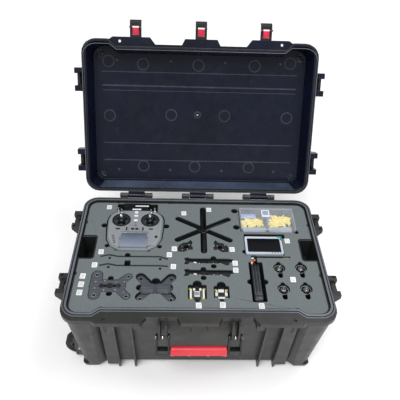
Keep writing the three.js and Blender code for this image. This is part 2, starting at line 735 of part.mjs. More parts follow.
// The two frame plates, each a run of round-ended arms and a middle, as [x0, y0, x1, y1, width].
const topPlate = { x: -228, y: -107, arms: [
  [-265, -72, -265, -137, 28],
  [-262, -107, -207, -107, 38],
  [-206, -98, -184, -77, 20],
  [-206, -117, -184, -140, 20],
], holes: [[-265, -72], [-265, -137], [-184, -77], [-184, -140]] };
const bottomPlate = { x: -111, y: -112, arms: [
  [-136, -112, -86, -112, 36],
  [-132, -100, -152, -77, 24],
  [-90, -100, -72, -78, 24],
  [-132, -122, -150, -141, 22],
  [-90, -122, -71, -144, 22],
], holes: [[-152, -77], [-72, -78], [-150, -141], [-71, -144]] };

const topPlateDepth = 4.5;
const bottomPlateDepth = 14;
const plateSolid = ({ arms }, clear, z0, z1) => join(arms.map(([x0, y0, x1, y1, width]) =>
  slab(slot(x0, y0, x1, y1, width + 2 * clear), z0, z1)));

const boards = {
  speed_controller: { x: -5, y: -124, width: boardSize + 8, depth: boardSize + 6 },
  flight_controller: { x: 57, y: -124, width: boardSize, depth: boardSize },
};
const batteryX = 151;
const batteryRear = -30;
const batteryY = batteryRear - batteryLength / 2;
const batteryFloor = trayTop - 46;
const batteryPocket = { x: batteryX + 2, width: batteryWidth + 14 };
const antennaY = -4;
const antennaFrom = 166;
const antennaLength = 84;
const motors = [['rear_left', 216, -42], ['rear_right', 275, -41], ['front_left', 218, -112],
  ['front_right', 277, -111]];
const motorFloor = trayTop - 31;
const monitorX = 183;
const monitorY = 37;
const monitorFloor = trayTop - 16;
const partsBoxX = 204;
const partsBoxY = 140;
const partsBoxFloor = trayTop - 30;
const handHoles = [[-1, -14, 67], [1, -15, 62]];
const handHoleDepth = 70;
const handHoleReach = 41;

// a thin wall of a given width along a route
function ribbon(route, width) {
  const side = (sign) => route.map((point, i) => {
    const before = route[Math.max(0, i - 1)];
    const after = route[Math.min(route.length - 1, i + 1)];
    const along = new THREE.Vector2(after[0] - before[0], after[1] - before[1]).normalize();
    return [point[0] + (sign * along.y * width) / 2, point[1] - (sign * along.x * width) / 2];
  });
  return [...side(1), ...side(-1).reverse()];
}

function bladeSlots(angle, reach, width) {
  return Array.from({ length: bladeCount }, (_, i) => {
    const turn = THREE.MathUtils.degToRad(angle + (360 / bladeCount) * i);
    const end = [propX + (reach - width / 2) * Math.cos(turn), propY + (reach - width / 2) * Math.sin(turn)];
    return slot(propX, propY, ...end, width);
  });
}

// ---------------------------------------------------------------- foam
function foamPockets() {
  const top = trayTop + 1;
  const at = (points, depth) => slab(points, trayTop - depth, top);
  const finger = (x, y, radius, depth) => disc(x, y, radius, trayTop - depth, top, 12);
  const rect = (x0, x1, y0, y1, depth, radius = 3) =>
    at(roundRect((x0 + x1) / 2, (y0 + y1) / 2, x1 - x0, y1 - y0, radius, 2), depth);
  const radioDepth = trayTop - (radio.top - radioThick) + gap;
  const edge = caseHalfX - cavityTop.inset;
  const parts = partsBoxPocket();
  return [
    at(grow(radioPoints, pocketClear + 1.5), radioDepth),
    rect(radio.x - 60, radio.x + 61, radio.y + 40, radio.y + 112, 44),
    ...[[-270, 111, 9], [-92, 110, 9], [-253, 32, 7], [-108, 30, 7], [-226, 19, 6], [-138, 16, 6]]
      .map(([x, y, r]) => finger(x, y, r, 30)),
    ...bladeSlots(propAngles.lower, propBladeR + 5, propBladeWidth + 4).map((p) => at(p, 22)),
    ...bladeSlots(propAngles.upper, propBladeR + 5, propBladeWidth + 4).map((p) => at(p, 22)),
    finger(propX, propY, 13, 24),
    ...sidePlates.map(({ route }) => at(ribbon(route, sidePlateThick + pocketClear * 2), 34)),
    finger(-193, -2, 8, 30),
    rect(-199, -183, -38, -21, 30, 1),
    ...[[-240, -13], [-104, -16], [-240, -45], [-103, -49]].map(([x, y]) => finger(x, y, 4, 14)),
    ...shortPlates.map(({ points }) => at(grow(points, pocketClear), 12)),
    ...[[40, -10], [40, -38.4], [12, -49], [12, -78.4]].map(([x, y]) => finger(x, y, 8, 16)),
    ...brackets.map(({ points }) => at(grow(points, pocketClear), 24)),
    plateSolid(topPlate, pocketClear, trayTop - topPlateDepth, top),
    finger(topPlate.x - 1, topPlate.y + 24, 8, 18),
    finger(topPlate.x, topPlate.y - 25, 8, 18),
    plateSolid(bottomPlate, pocketClear, trayTop - bottomPlateDepth, top),
    finger(bottomPlate.x - 1, bottomPlate.y + 20, 12, 20),
    finger(-152, bottomPlate.y, 10, 20),
    ...Object.values(boards).flatMap(({ x, y, width, depth }) => [
      rect(x - width / 2 - 2, x + width / 2 + 2, y - depth / 2 - 2, y + depth / 2 + 2, 14),
      finger(x, y + depth / 2 + 4, 12, 20),
      finger(x, y - depth / 2 - 3, 8, 20),
    ]),
    rect(batteryPocket.x - batteryPocket.width / 2, batteryPocket.x + batteryPocket.width / 2,
      batteryY - batteryLength / 2 - 4, batteryY + batteryLength / 2 + 8, 46),
    rect(batteryX - 8, batteryX + 8, batteryY + batteryLength / 2, 2, 30),
    finger(batteryPocket.x - 19, batteryY, 9, 40),
    finger(batteryPocket.x + 19, batteryY, 9, 40),
    rect(batteryX - 8, antennaFrom + antennaLength + 2, antennaY - 3.5, antennaY + 3.5, 10, 2),
    ...motors.flatMap(([, x, y]) => [
      finger(x, y, motorR + 1.5, 31),
      at(slot(x, y, x, y - 28, 13), 31),
      at(slot(x, y, x, y + 16, 12), 22),
    ]),
    rect(monitorX - monitorWidth / 2 - 2, monitorX + monitorWidth / 2 + 2, monitorY - monitorDepth / 2 - 2,
      monitorY + monitorDepth / 2 + 2, 16),
    rect(monitorX - 53, monitorX + 64, monitorY + 30, monitorY + 47, 26),
    finger(monitorX - monitorWidth / 2 - 2, 15, 8, 26),
    at(parts, 30),
    finger(110, 179, 10, 28),
    finger(111, 110, 10, 28),
    finger(284, partsBoxY - partsBoxDepth / 2, 7, 28),
    ...handHoles.map(([side, y0, y1]) => {
      const [x0, x1] = [side * (edge + 6), side * (edge - handHoleReach)].sort((a, b) => a - b);
      return rect(x0, x1, y0, y1, handHoleDepth, 5);
    }),
    ...[[-edge, 122], [edge, 122], [-edge, -68], [edge, -68]].map(([x, y]) => finger(x, y, 4.5, trayThick + 2)),
    ...[[-240, backY - 12], [-85, backY - 12], [82, -181], [-82, -181], [243, -180], [-243, -180]]
      .map(([x, y]) => finger(x, y, 4, trayThick + 2)),
  ];
}

const partsBoxPocket = () =>
  roundRect(partsBoxX, partsBoxY, partsBoxWidth + 2 * pocketClear, partsBoxDepth + 2 * pocketClear, 5, 2);

function foamBlock(z0, z1) {
  return loft([
    { points: cavityOutline(z0, slack), z: z0 },
    { points: cavityOutline(z1, slack), z: z1 },
  ]);
}

const trayBottom = trayTop - trayThick;

function lowerFoam() {
  const keep = slack + 1;
  const housings = sides.map((side) =>
    block(-caseHalfX, wheelX + wheelR + 9 + keep, side * (wheelY - wellHalf - cheekThick - keep),
      side * (wheelY + wellHalf + cheekThick + keep), 0, wheelR * 2 + 12 + keep));
  const storeEnd = caseHalfX - cavityBottom.inset - storeWall;
  const storeSide = caseHalfY - cavityBottom.inset - cavityBottom.front - cavityBottom.step - storeWall;
  const stores = sides.map((side) => {
    const clearOfWheels = side < 0 ? -(wheelX + wheelR + 9) - storeWall / 2 : storeEnd;
    const outline = roundRect((side * (clearOfWheels + storeWall / 2)) / 2, 0,
      clearOfWheels - storeWall / 2, 2 * storeSide, 12, 2);
    return slab(outline, floorTop + storeFloor, trayBottom);
  });
  return cut(foamBlock(floorTop + gap, trayBottom - gap), housings, stores);
}

// ---------------------------------------------------------------- radio
function radioBody() {
  const bottom = radio.top - radioThick;
  const inner = grow(radioPoints, -5);
  const shell = loft([
    { points: grow(radioPoints, -8), z: bottom },
    { points: radioPoints, z: bottom + 14 },
    { points: radioPoints, z: radio.top - 8 },
    { points: inner, z: radio.top },
  ]);
  const handle = cut(
    block(radio.x - 34, radio.x + 32, radio.y + 60, radio.y + 106, radio.top - 40, radio.top - 18),
    block(radio.x - 26, radio.x + 24, radio.y + 79, radio.y + 98, radio.top - 50, radio.top),
  );
  const screen = slab(roundRect(radio.x, radio.y - 46, 74, 54, 4, 2), radio.top - 4, radio.top + 3);
  const wells = gimbals.map(([, x]) => disc(x, gimbalY, gimbalR, gimbalFloor, radio.top + 2, 24));
  const bosses = toggles.map(([, x, y]) => disc(x, y, 4.5, radio.top - 16, radio.top + 1, 10));
  const trims = [-48, -23, 23, 48].map((u) => block(radio.x + u - 4, radio.x + u + 4, radio.y - 3,
    radio.y + 1, radio.top - 2, radio.top + 1.2));
  return cut(join(shell, handle, screen, bosses, trims), wells);
}

function radioStick(x) {
  const dome = solidOf(new THREE.SphereGeometry(8, 12, 8).translate(x, gimbalY, stickPivotZ));
  return join(dome, disc(x, gimbalY, 2.2, stickPivotZ, stickPivotZ + 27, 10),
    disc(x, gimbalY, 3.6, stickPivotZ + 17, stickPivotZ + 29, 10));
}

const toggleClear = 0.9; // lets the lever's foot rock over its boss

function toggle(x, y) {
  const z = radio.top + 1 + toggleClear;
  return join(disc(x, y, 3, z, z + 3, 10), disc(x, y, 1.8, z + 2, z + 12, 8), disc(x, y, 2.6, z + 9, z + 14, 8));
}

// ---------------------------------------------------------------- loose pieces
function propeller(angle, z) {
  const blades = Array.from({ length: bladeCount }, (_, i) => {
    const turn = angle + (360 / bladeCount) * i;
    const w = propBladeWidth;
    const outline = [[3, -w * 0.3], [propBladeR * 0.35, -w * 0.5], [propBladeR - 6, -w * 0.36],
      ...arc(propBladeR - w * 0.4, 0, w * 0.4, -50, 60, 3), [propBladeR * 0.4, w * 0.5], [3, w * 0.3]];
    const flat = new THREE.ExtrudeGeometry(shapeOf(outline), { depth: 2, bevelEnabled: false });
    flat.rotateZ(THREE.MathUtils.degToRad(turn)).translate(propX, propY, z + 2);
    return solidOf(flat);
  });
  return cut(join(disc(propX, propY, 9, z, z + 7, 20), blades), disc(propX, propY, 2.5, z - 1, z + 8, 10));
}

function sidePlate({ route }) {
  const x0 = route[0][0];
  const body = slab(ribbon(route, sidePlateThick), sidePlateFloor + gap, trayTop - 2);
  const windows = [0.2, 0.38, 0.56, 0.74].map((share) => {
    const x = x0 + sidePlateLength * share;
    return block(x, x + 20, route[1][1] - 20, route[1][1] + 20, sidePlateFloor + 8, trayTop - 9);
  });
  return cut(body, windows);
}

function shortPlate({ points }) {
  const y = points[0][1] + 9;
  const body = slab(points, shallowFloor + gap, shallowFloor + 5);
  return cut(body, [4, 22, 58].map((x) => disc(x, y + 2, 3, shallowFloor, shallowFloor + 6, 10)));
}

function cameraBracket({ points }) {
  const floor = trayTop - 24 + gap;
  const [low, high] = [floor, trayTop - 3];
  const centre = points.reduce(([a, b], [x, y]) => [a + x / points.length, b + y / points.length], [0, 0]);
  return cut(slab(points, low, high), disc(...centre, 7, low + 8, high + 1, 14));
}

function frameTopPlate() {
  const { x, y, holes } = topPlate;
  const z = trayTop - topPlateDepth + gap;
  const opening = [slab(slot(x - 22, y, x + 20, y, 9), z - 1, z + 5), disc(x - 1, y, 7, z - 1, z + 5, 12)];
  return cut(plateSolid(topPlate, 0, z, z + 3.5), opening, holes.map(([u, v]) => disc(u, v, 4, z - 1, z + 5, 12)));
}

function frameBottomPlate() {
  const { x, y, holes } = bottomPlate;
  const z = trayTop - bottomPlateDepth + gap;
  const raised = [
    slab(roundRect(x - 22, y, 34, 32, 4, 2), z + 3, z + 10),
    slab(roundRect(x + 19, y, 34, 32, 4, 2), z + 3, z + 10),
  ];
  return cut(join(plateSolid(bottomPlate, 0, z, z + 4), raised),
    holes.map(([u, v]) => disc(u, v, 4, z - 1, z + 5, 12)));
}

function board({ x, y, width, depth }) {
  const z = trayTop - 14 + gap;
  const plate = slab(roundRect(x, y, width, depth, 4, 2), z, z + 2);
  const holes = sides.flatMap((sx) => sides.map((sy) =>
    disc(x + sx * (width / 2 - 4), y + sy * (depth / 2 - 4), 2, z - 1, z + 3, 10)));
  const chips = [
    block(x - 7, x + 7, y - 7, y + 7, z + 1, z + 5),
    block(x - 6, x + 6, y + depth / 2 - 8, y + depth / 2 - 1, z + 1, z + 7),
    block(x - width / 2 + 2, x - width / 2 + 7, y - 6, y + 6, z + 1, z + 6),
    block(x + width / 2 - 7, x + width / 2 - 2, y - 6, y + 6, z + 1, z + 6),
  ];
  return join(cut(plate, holes), chips);
}

function battery() {
  const x0 = batteryX - batteryWidth / 2;
  const [y0, y1] = [batteryY - batteryLength / 2, batteryY + batteryLength / 2];
  const profile = roundRect(batteryX, (batteryFloor + trayTop + 2) / 2, batteryWidth,
    trayTop + 2 - batteryFloor - 2 * gap, 4, 2);
  const pack = alongY(profile, y0, y1);
  return join(pack, block(x0 + 5, x0 + batteryWidth - 7, y1 - 2, y1 + 14, trayTop - 26, trayTop - 10),
    block(x0 + 6, x0 + batteryWidth - 8, y1 + 10, y1 + 26, trayTop - 22, trayTop - 8));
}

function antenna() {
  const z = trayTop - 10 + 3.5;
  const end = antennaFrom + antennaLength;
  return join(barX(antennaFrom, end - 14, antennaY, z, 1.5, 8), barX(end - 16, end, antennaY, z, 3, 10));
}

function motorBase(x, y) {
  const z = motorFloor + gap;
  const winding = cut(disc(x, y, motorR - 3.2, z + 3, z + 12, 16), disc(x, y, 4, z + 4, z + 13, 8));
  return join(disc(x, y, motorR - 1, z, z + 4, 16), winding,
    block(x - 4.5, x + 4.5, y - 26, y - 8, z, z + 4), block(x - 4.5, x + 4.5, y - 26, y - 18, z, z + 16));
}

function motorBell(x, y) {
  const z = motorFloor + gap + 4 + slack;
  const height = 19;
  const arms = Array.from({ length: 6 }, (_, i) => {
    const turn = (i * Math.PI) / 3;
    return disc(x + 9.3 * Math.cos(turn), y + 9.3 * Math.sin(turn), 3.2, z + height - 3.5, z + height + 1, 6);
  });
  const bell = cut(disc(x, y, motorR, z, z + height, 20), disc(x, y, motorR - 1.6, z - 1, z + height - 3, 20));
  return join(cut(bell, arms), disc(x, y, 4, z + height - 3, z + height + 2, 10),
    disc(x, y, 2.4, z + height, z + height + 16, 8));
}

function monitor() {
  const z = monitorFloor + gap;
  const top = trayTop + 4;
  const body = loft([
    { points: roundRect(monitorX, monitorY, monitorWidth - 4, monitorDepth - 4, 6), z },
    { points: roundRect(monitorX, monitorY, monitorWidth, monitorDepth, 6), z: z + 4 },
    { points: roundRect(monitorX, monitorY, monitorWidth, monitorDepth, 6), z: top },
  ]);
  const screen = slab(roundRect(monitorX, monitorY, monitorWidth - 14, monitorDepth - 16, 2, 2), top - 1.5, top + 1);
  const bumper = block(monitorX + monitorWidth / 2 - 12, monitorX + monitorWidth / 2 + 1,
    monitorY + monitorDepth / 2 - 10, monitorY + monitorDepth / 2 + 2, z + 2, top + 1);
  return join(cut(body, screen), bumper);
}

const partsBoxTop = trayTop + 2;
const boxHingeY = partsBoxY + partsBoxDepth / 2 - 2;

function partsBox() {
  const z = partsBoxFloor + gap;
  const outer = loft([
    { points: roundRect(partsBoxX, partsBoxY, partsBoxWidth - 6, partsBoxDepth - 6, 5), z },
    { points: roundRect(partsBoxX, partsBoxY, partsBoxWidth, partsBoxDepth, 6), z: partsBoxTop },
  ]);
  const room = loft([
    { points: roundRect(partsBoxX, partsBoxY, partsBoxWidth - 10, partsBoxDepth - 10, 4), z: z + boxWall },
    { points: roundRect(partsBoxX, partsBoxY, partsBoxWidth - 4, partsBoxDepth - 4, 5), z: partsBoxTop + 1 },
  ]);
  const divider = block(partsBoxX - 1, partsBoxX + 1, partsBoxY - partsBoxDepth / 2 + 3,
    partsBoxY + partsBoxDepth / 2 - 3, z + 1, partsBoxTop - 4);
  return join(cut(outer, room), divider);
}

function partsBoxLid() {
  const z = partsBoxTop + gap;
  const plate = slab(roundRect(partsBoxX, partsBoxY, partsBoxWidth, partsBoxDepth, 6), z, z + 5);
  const hollow = slab(roundRect(partsBoxX, partsBoxY, partsBoxWidth - 4, partsBoxDepth - 4, 5), z - 1, z + 3.4);
  const clasp = block(partsBoxX - 12, partsBoxX + 12, partsBoxY - partsBoxDepth / 2 - 1.2,
    partsBoxY - partsBoxDepth / 2 + 3, z, z + 5);
  return join(cut(plate, hollow), clasp);
}

// ---------------------------------------------------------------- assembly
const group = new THREE.Group();

function piece(name, solid, material, parent = group) {
  const { numProp, vertProperties, triVerts } = solid.getMesh();
  const geometry = new THREE.BufferGeometry();
  const positions = new Float32Array((vertProperties.length / numProp) * 3);
  for (let i = 0; i < positions.length / 3; i += 1) {
    positions.set(vertProperties.subarray(i * numProp, i * numProp + 3), i * 3);
  }
  geometry.setAttribute('position', new THREE.BufferAttribute(positions, 3));
  geometry.setIndex(new THREE.BufferAttribute(new Uint32Array(triVerts), 1));
  geometry.computeVertexNormals();
  const mesh = new THREE.Mesh(geometry, material);
  mesh.name = name;
  parent.add(mesh);
  return mesh;
}

piece('base_tub', baseTub(), shellBlack);
hinges.forEach(([name, x]) => piece(`hinge_pin_${name}`, hingePin(x), steel));
piece('underside_cover', undersideCover(), shellBlack);
piece('handle_frame', handleFrame(), mouldBlack);
piece('handle_grip', handleGrip(), gripRed);
[['front', -wheelY], ['rear', wheelY]].forEach(([name, y]) => piece(`wheel_${name}`, wheel(y), tyreBlack));
piece('trolley_handle', trolleyHandle(), mouldBlack);

// the lid turns about the hinge axis; its pieces are drawn shut
const lidTurn = new THREE.Group();
lidTurn.position.set(0, hingeY, hingeZ);
lidTurn.rotation.x = openTurn;
const lid = new THREE.Group();
lid.position.set(0, -hingeY, -hingeZ);
lidTurn.add(lid);
group.add(lidTurn);
piece('lid_shell', lidShell(), lidBlack, lid);
piece('lid_gasket', lidGasket(), sealRubber, lid);

function addLatch(name, place) {
  place.updateMatrix();
  lid.add(place);
  piece(`${name}_latch`, latchSolid(latchWidth, latchReach, name.startsWith('side') ? sideHookReach : hookReach),
    mouldBlack, place);
  piece(`${name}_lock`, lockSolid(), lockRed, place);
}

latchPlaces.forEach(([name, x]) => {
  const place = new THREE.Group();
  place.position.set(x, latchPivotY, latchPivotZ);
  addLatch(`front_${name}`, place);
});
sides.forEach((side) => {
  earPairs.forEach(([y0, y1], i) => {
    const place = new THREE.Group();
    place.position.set(side * sideLatchX, (y0 + y1) / 2, sideLatchZ);
    const out = new THREE.Vector3(side, 0, 0);
    const up = new THREE.Vector3(0, 0, 1);
    // folded back against the lid: the plate reaches up and its hooks point outward
    const basis = new THREE.Matrix4().makeBasis(new THREE.Vector3().crossVectors(up, out), up.clone().negate(),
      out.clone().negate());
    place.quaternion.setFromRotationMatrix(basis);
    addLatch(`side_${side < 0 ? 'left' : 'right'}_${i === 0 ? 'front' : 'rear'}`, place);
  });
});

piece('foam_tray', cut(foamBlock(trayBottom, trayTop), foamPockets()), foamGrey);
piece('lower_foam', lowerFoam(), foamGrey);
piece('radio_body', radioBody(), radioGrey);
gimbals.forEach(([name, x]) => piece(`radio_stick_${name}`, radioStick(x), steel));
toggles.forEach(([name, x, y]) => piece(`radio_toggle_${name}`, toggle(x, y), steel));
piece('propeller_lower', propeller(propAngles.lower, propFloor + gap), mouldBlack);
piece('propeller_upper', propeller(propAngles.upper, propFloor + 7 + 2 * gap), mouldBlack);
sidePlates.forEach((plate) => piece(`side_plate_${plate.name}`, sidePlate(plate), carbon));
shortPlates.forEach((plate) => piece(`short_plate_${plate.name}`, shortPlate(plate), carbon));
brackets.forEach((bracket) => piece(`camera_bracket_${bracket.name}`, cameraBracket(bracket), mouldBlack));
piece('frame_top_plate', frameTopPlate(), carbon);
piece('frame_bottom_plate', frameBottomPlate(), carbon);
Object.entries(boards).forEach(([name, spec]) => piece(name, board(spec), boardGreen));
piece('battery', battery(), mouldBlack);
piece('antenna', antenna(), mouldBlack);
motors.forEach(([name, x, y]) => {
  piece(`motor_base_${name}`, motorBase(x, y), mouldBlack);
  piece(`motor_bell_${name}`, motorBell(x, y), steel);
});
piece('monitor', monitor(), monitorGrey);
piece('parts_box', partsBox(), clearPlastic);
piece('parts_box_lid', partsBoxLid(), clearPlastic);

export default group;
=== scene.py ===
"""Looks for a camera drone kit in a wheeled transport case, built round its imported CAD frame.

Pieces are drawn in millimetres in the frame's own axes and become metres when they are placed.
"""

import json
import math
import random

import bmesh
import bpy
from mathutils import Matrix, Vector


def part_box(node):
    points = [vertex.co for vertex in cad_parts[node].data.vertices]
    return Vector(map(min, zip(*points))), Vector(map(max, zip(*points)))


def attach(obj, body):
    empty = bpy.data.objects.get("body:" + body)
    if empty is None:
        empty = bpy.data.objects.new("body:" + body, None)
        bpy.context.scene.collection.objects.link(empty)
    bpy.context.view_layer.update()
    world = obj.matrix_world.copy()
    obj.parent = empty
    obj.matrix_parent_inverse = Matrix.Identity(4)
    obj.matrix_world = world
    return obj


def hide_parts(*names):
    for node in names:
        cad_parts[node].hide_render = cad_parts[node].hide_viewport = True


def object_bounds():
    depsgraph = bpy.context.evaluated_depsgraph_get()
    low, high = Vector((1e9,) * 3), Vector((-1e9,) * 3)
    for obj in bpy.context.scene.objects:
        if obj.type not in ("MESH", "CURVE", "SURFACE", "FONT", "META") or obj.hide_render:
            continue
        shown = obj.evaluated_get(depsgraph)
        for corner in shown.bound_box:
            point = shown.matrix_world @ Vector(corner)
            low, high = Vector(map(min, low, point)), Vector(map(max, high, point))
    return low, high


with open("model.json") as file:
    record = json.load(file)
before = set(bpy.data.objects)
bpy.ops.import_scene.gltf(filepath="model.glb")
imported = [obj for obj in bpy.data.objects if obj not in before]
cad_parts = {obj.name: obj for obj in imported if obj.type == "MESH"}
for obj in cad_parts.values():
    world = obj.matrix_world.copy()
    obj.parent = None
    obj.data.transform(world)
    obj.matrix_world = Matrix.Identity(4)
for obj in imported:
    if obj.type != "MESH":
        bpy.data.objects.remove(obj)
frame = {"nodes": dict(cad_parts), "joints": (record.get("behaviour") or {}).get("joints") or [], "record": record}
cad_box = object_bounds()

MM = 0.001
EASED_FROM = 30  # a skin's edges that turn by more than this many degrees are rounded
SHARP_FROM = 42  # and those that turn by more than this are shaded as corners
PROP_X, PROP_Y = 15, 100  # the hubs of both propellers, which lie one on the other
BODY_OF = {n: body for body, names in frame["record"]["behaviour"]["bodies"].items() for n in names}
JOINTS = {joint["name"]: joint for joint in frame["joints"]}


def span(node):
    """Lowest and highest corner of a CAD node, in millimetres."""
    low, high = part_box(node)
    return low / MM, high / MM


def middle(node):
    low, high = span(node)
    return (low + high) / 2


# ---- materials
def srgb(code, alpha=1.0):
    """A colour written as six hex digits, in the linear values that a shader takes."""
    parts = [int(code[i:i + 2], 16) / 255 for i in (0, 2, 4)]
    return (*[p / 12.92 if p <= 0.04045 else ((p + 0.055) / 1.055) ** 2.4 for p in parts], alpha)


class Look:
    """A node material: one shader, and the nodes that vary it over the surface."""

    def __init__(self, name, slot=None, **constants):
        self.material = bpy.data.materials.new(name)
        self.material.use_nodes = True
        self.tree = self.material.node_tree
        self.shader = self.tree.nodes["Principled BSDF"]
        self.where = self.node("ShaderNodeTexCoord").outputs["Object"]
        self.material["slot"] = slot or name
        for key, value in constants.items():
            self.shader.inputs[key.replace("_", " ")].default_value = value

    def node(self, kind, inputs=None, **settings):
        made = self.tree.nodes.new(kind)
        for key, value in settings.items():
            setattr(made, key, value)
        for key, value in (inputs or {}).items():
            if isinstance(value, bpy.types.NodeSocket):
                self.tree.links.new(value, made.inputs[key])
            else:
                made.inputs[key].default_value = value
        return made

    def noise(self, per_metre, detail=3.0, where=None):
        inputs = {"Vector": where or self.where, "Scale": per_metre, "Detail": detail}
        return self.node("ShaderNodeTexNoise", inputs).outputs["Fac"]

    def math(self, operation, a, b=0.0):
        return self.node("ShaderNodeMath", {0: a, 1: b}, operation=operation).outputs[0]

    def blend(self, share, a, b):
        made = self.node("ShaderNodeMix", {0: share, 6: a, 7: b}, data_type="RGBA")
        return made.outputs[2]

    def between(self, value, low, high, new_low=0.0, new_high=1.0):
        inputs = {0: value, 1: low, 2: high, 3: new_low, 4: new_high}
        return self.node("ShaderNodeMapRange", inputs).outputs[0]

    def scuffs(self):
        """1 in a few small rubbed patches, 0 elsewhere."""
        return self.between(self.noise(55, 7), 0.6, 0.72)

    def colour(self, socket):
        self.tree.links.new(socket, self.shader.inputs["Base Color"])
        return self

    def rough(self, value, low, high):
        self.tree.links.new(self.between(value, 0.3, 0.7, low, high), self.shader.inputs["Roughness"])
        return self

    def bump(self, height, distance_mm, strength=1.0):
        inputs = {"Height": height, "Distance": distance_mm * MM, "Strength": strength}
        made = self.node("ShaderNodeBump", inputs)
        self.tree.links.new(made.outputs[0], self.shader.inputs["Normal"])
        return self


def moulded(name, dark, light, rough=0.45, grain_mm=0.9, depth_mm=0.12, worn=0.05, **constants):
    """Moulded plastic or rubber: a slow drift of colour, a fine grain, and a few rubbed patches."""
    look = Look(name, **constants)
    drift = look.between(look.noise(7, 3), 0.3, 0.7)
    body = look.blend(drift, srgb(dark), srgb(light))
    rub = look.math("MULTIPLY", look.scuffs(), worn)
    look.colour(look.blend(rub, body, srgb("9a9c9c")))
    look.rough(look.noise(35, 2), rough - 0.06, rough + 0.08)
    look.bump(look.noise(1 / (grain_mm * MM), 2), depth_mm)
    return look.material


def metal(name, dark, light, rough=0.3, slot=None, brushed=(1, 1, 40)):
    """Machined metal with fine turning marks."""
    look = Look(name, slot=slot, Metallic=1.0)
    stretched = look.node("ShaderNodeMapping", {"Vector": look.where, "Scale": brushed}).outputs[0]
    marks = look.noise(400, 3, stretched)
    look.colour(look.blend(look.between(marks, 0.3, 0.7), srgb(dark), srgb(light)))
    look.rough(marks, rough - 0.08, rough + 0.12)
    look.bump(marks, 0.03)
    return look.material


def foam_material():
    """Closed-cell foam: a grey top sheet laid on a black block, both finely pitted."""
    sheet_bottom = span("foam_tray")[1].z - 3.2
    look = Look("foam", Specular_IOR_Level=0.25)
    height = look.node("ShaderNodeSeparateXYZ", {0: look.where}).outputs[2]
    skin = look.between(height, (sheet_bottom - 0.2) * MM, (sheet_bottom + 0.2) * MM)
    cells = look.node("ShaderNodeTexVoronoi", {"Vector": look.where, "Scale": 750.0}).outputs["Distance"]
    speckle = look.between(look.noise(520, 4), 0.3, 0.7)
    drift = look.between(look.noise(14, 3), 0.3, 0.7)
    grey = look.blend(speckle, srgb("585f62"), srgb("747c7f"))
    grey = look.blend(look.math("MULTIPLY", drift, 0.45), grey, srgb("666d6b"))
    black = look.blend(speckle, srgb("101314"), srgb("212628"))
    look.colour(look.blend(skin, black, grey))
    look.rough(speckle, 0.86, 0.97)
    look.bump(look.math("ADD", cells, look.math("MULTIPLY", speckle, 0.5)), 0.25, 0.6)
    return look.material


def carbon_material():
    """Carbon fibre sheet in a two by two twill under a thin clear resin, with painted sheen and shade on its tows.
    """
    tow = 1.7 * MM
    look = Look("carbon", Coat_Weight=0.35, Coat_Roughness=0.2)
    turned = look.node("ShaderNodeMapping", {"Vector": look.where, "Rotation": (0, 0, math.radians(45))})
    across = look.node("ShaderNodeSeparateXYZ", {0: turned.outputs[0]}).outputs
    u = look.math("DIVIDE", across[0], tow)
    v = look.math("DIVIDE", look.math("ADD", across[1], across[2]), tow)
    step = look.math("SUBTRACT", look.math("FLOOR", u), look.math("FLOOR", v))
    warp = look.math("LESS_THAN", look.math("FLOORED_MODULO", step, 4.0), 2.0)
    phases = [look.math("MULTIPLY", look.math("FRACT", share), math.pi) for share in (u, v)]
    crown_u, crown_v = (look.math("SINE", phase) for phase in phases)
    crown = look.node("ShaderNodeMix", {0: warp, 2: crown_u, 3: crown_v}).outputs[0]
    # painted sheen: the warp tows lighter than the weft; painted shade: each tow darker towards its edges
    warp_sheen_tone = look.blend(warp, srgb("353941"), srgb("5b6069"))
    look.colour(look.blend(look.between(crown, 0.0, 0.8), srgb("17191e"), warp_sheen_tone))
    look.rough(look.noise(200), 0.34, 0.5)
    look.bump(crown, 0.1, 0.5)
    return look.material


def screen_material(name, top, bottom, y0, y1, slot, rough=0.12):
    """A dark display under glass, lighter towards one edge as a painted reflection."""
    look = Look(name, slot=slot, Specular_IOR_Level=0.25, Coat_Weight=0.08, Coat_Roughness=0.06)
    depth = look.node("ShaderNodeSeparateXYZ", {0: look.where}).outputs[1]
    reflection_fade = look.between(depth, y0 * MM, y1 * MM)
    smear = look.math("MULTIPLY", look.noise(30, 2), 0.35)
    share = look.math("ADD", look.math("MULTIPLY", reflection_fade, 0.8), smear)
    look.colour(look.blend(share, srgb(bottom), srgb(top)))
    look.rough(look.noise(90), rough, rough + 0.1)
    return look.material


def clear_material():
    """Milky see-through plastic."""
    look = Look("clear", Alpha=0.12, IOR=1.46)
    haze = look.between(look.noise(25, 3), 0.35, 0.65)
    look.colour(look.blend(haze, srgb("cfd9ea"), srgb("f1f4f8")))
    look.rough(haze, 0.14, 0.3)
    look.bump(look.noise(60, 2), 0.2)
    return look.material


SHELL = moulded("shell", "1b1d1b", "252724", 0.4, 1.1, 0.1)
# a lighter, bluer copy of the shell for the tub's top faces: painted highlight for the sheen they catch
RIM_TOP_HIGHLIGHT = moulded("rim", "34363d", "43454e", 0.3, 0.8, 0.05, slot="shell")
# a lighter copy of the rim for its raised lines: painted highlight
RIM_LINE_HIGHLIGHT = moulded("rim_line_painted_highlight", "565963", "6c6f79", 0.25, 0.8, 0.02, slot="shell")
# near-black finish for the rim's groove and the foam's edge: painted shade
RIM_GROOVE_SHADE = moulded("rim_groove_painted_shade", "050607", "0b0c0e", 0.6, slot="shell")
LID = moulded("lid", "060a1a", "0b1126", 0.3, 1.3, 0.05, worn=0.015, Specular_IOR_Level=0.3)
# a lighter copy of the lid for its moulding marks: painted highlight
LID_MARK_HIGHLIGHT = moulded("lid_mark_painted_highlight", "232834", "363c4a", 0.25, slot="lid")
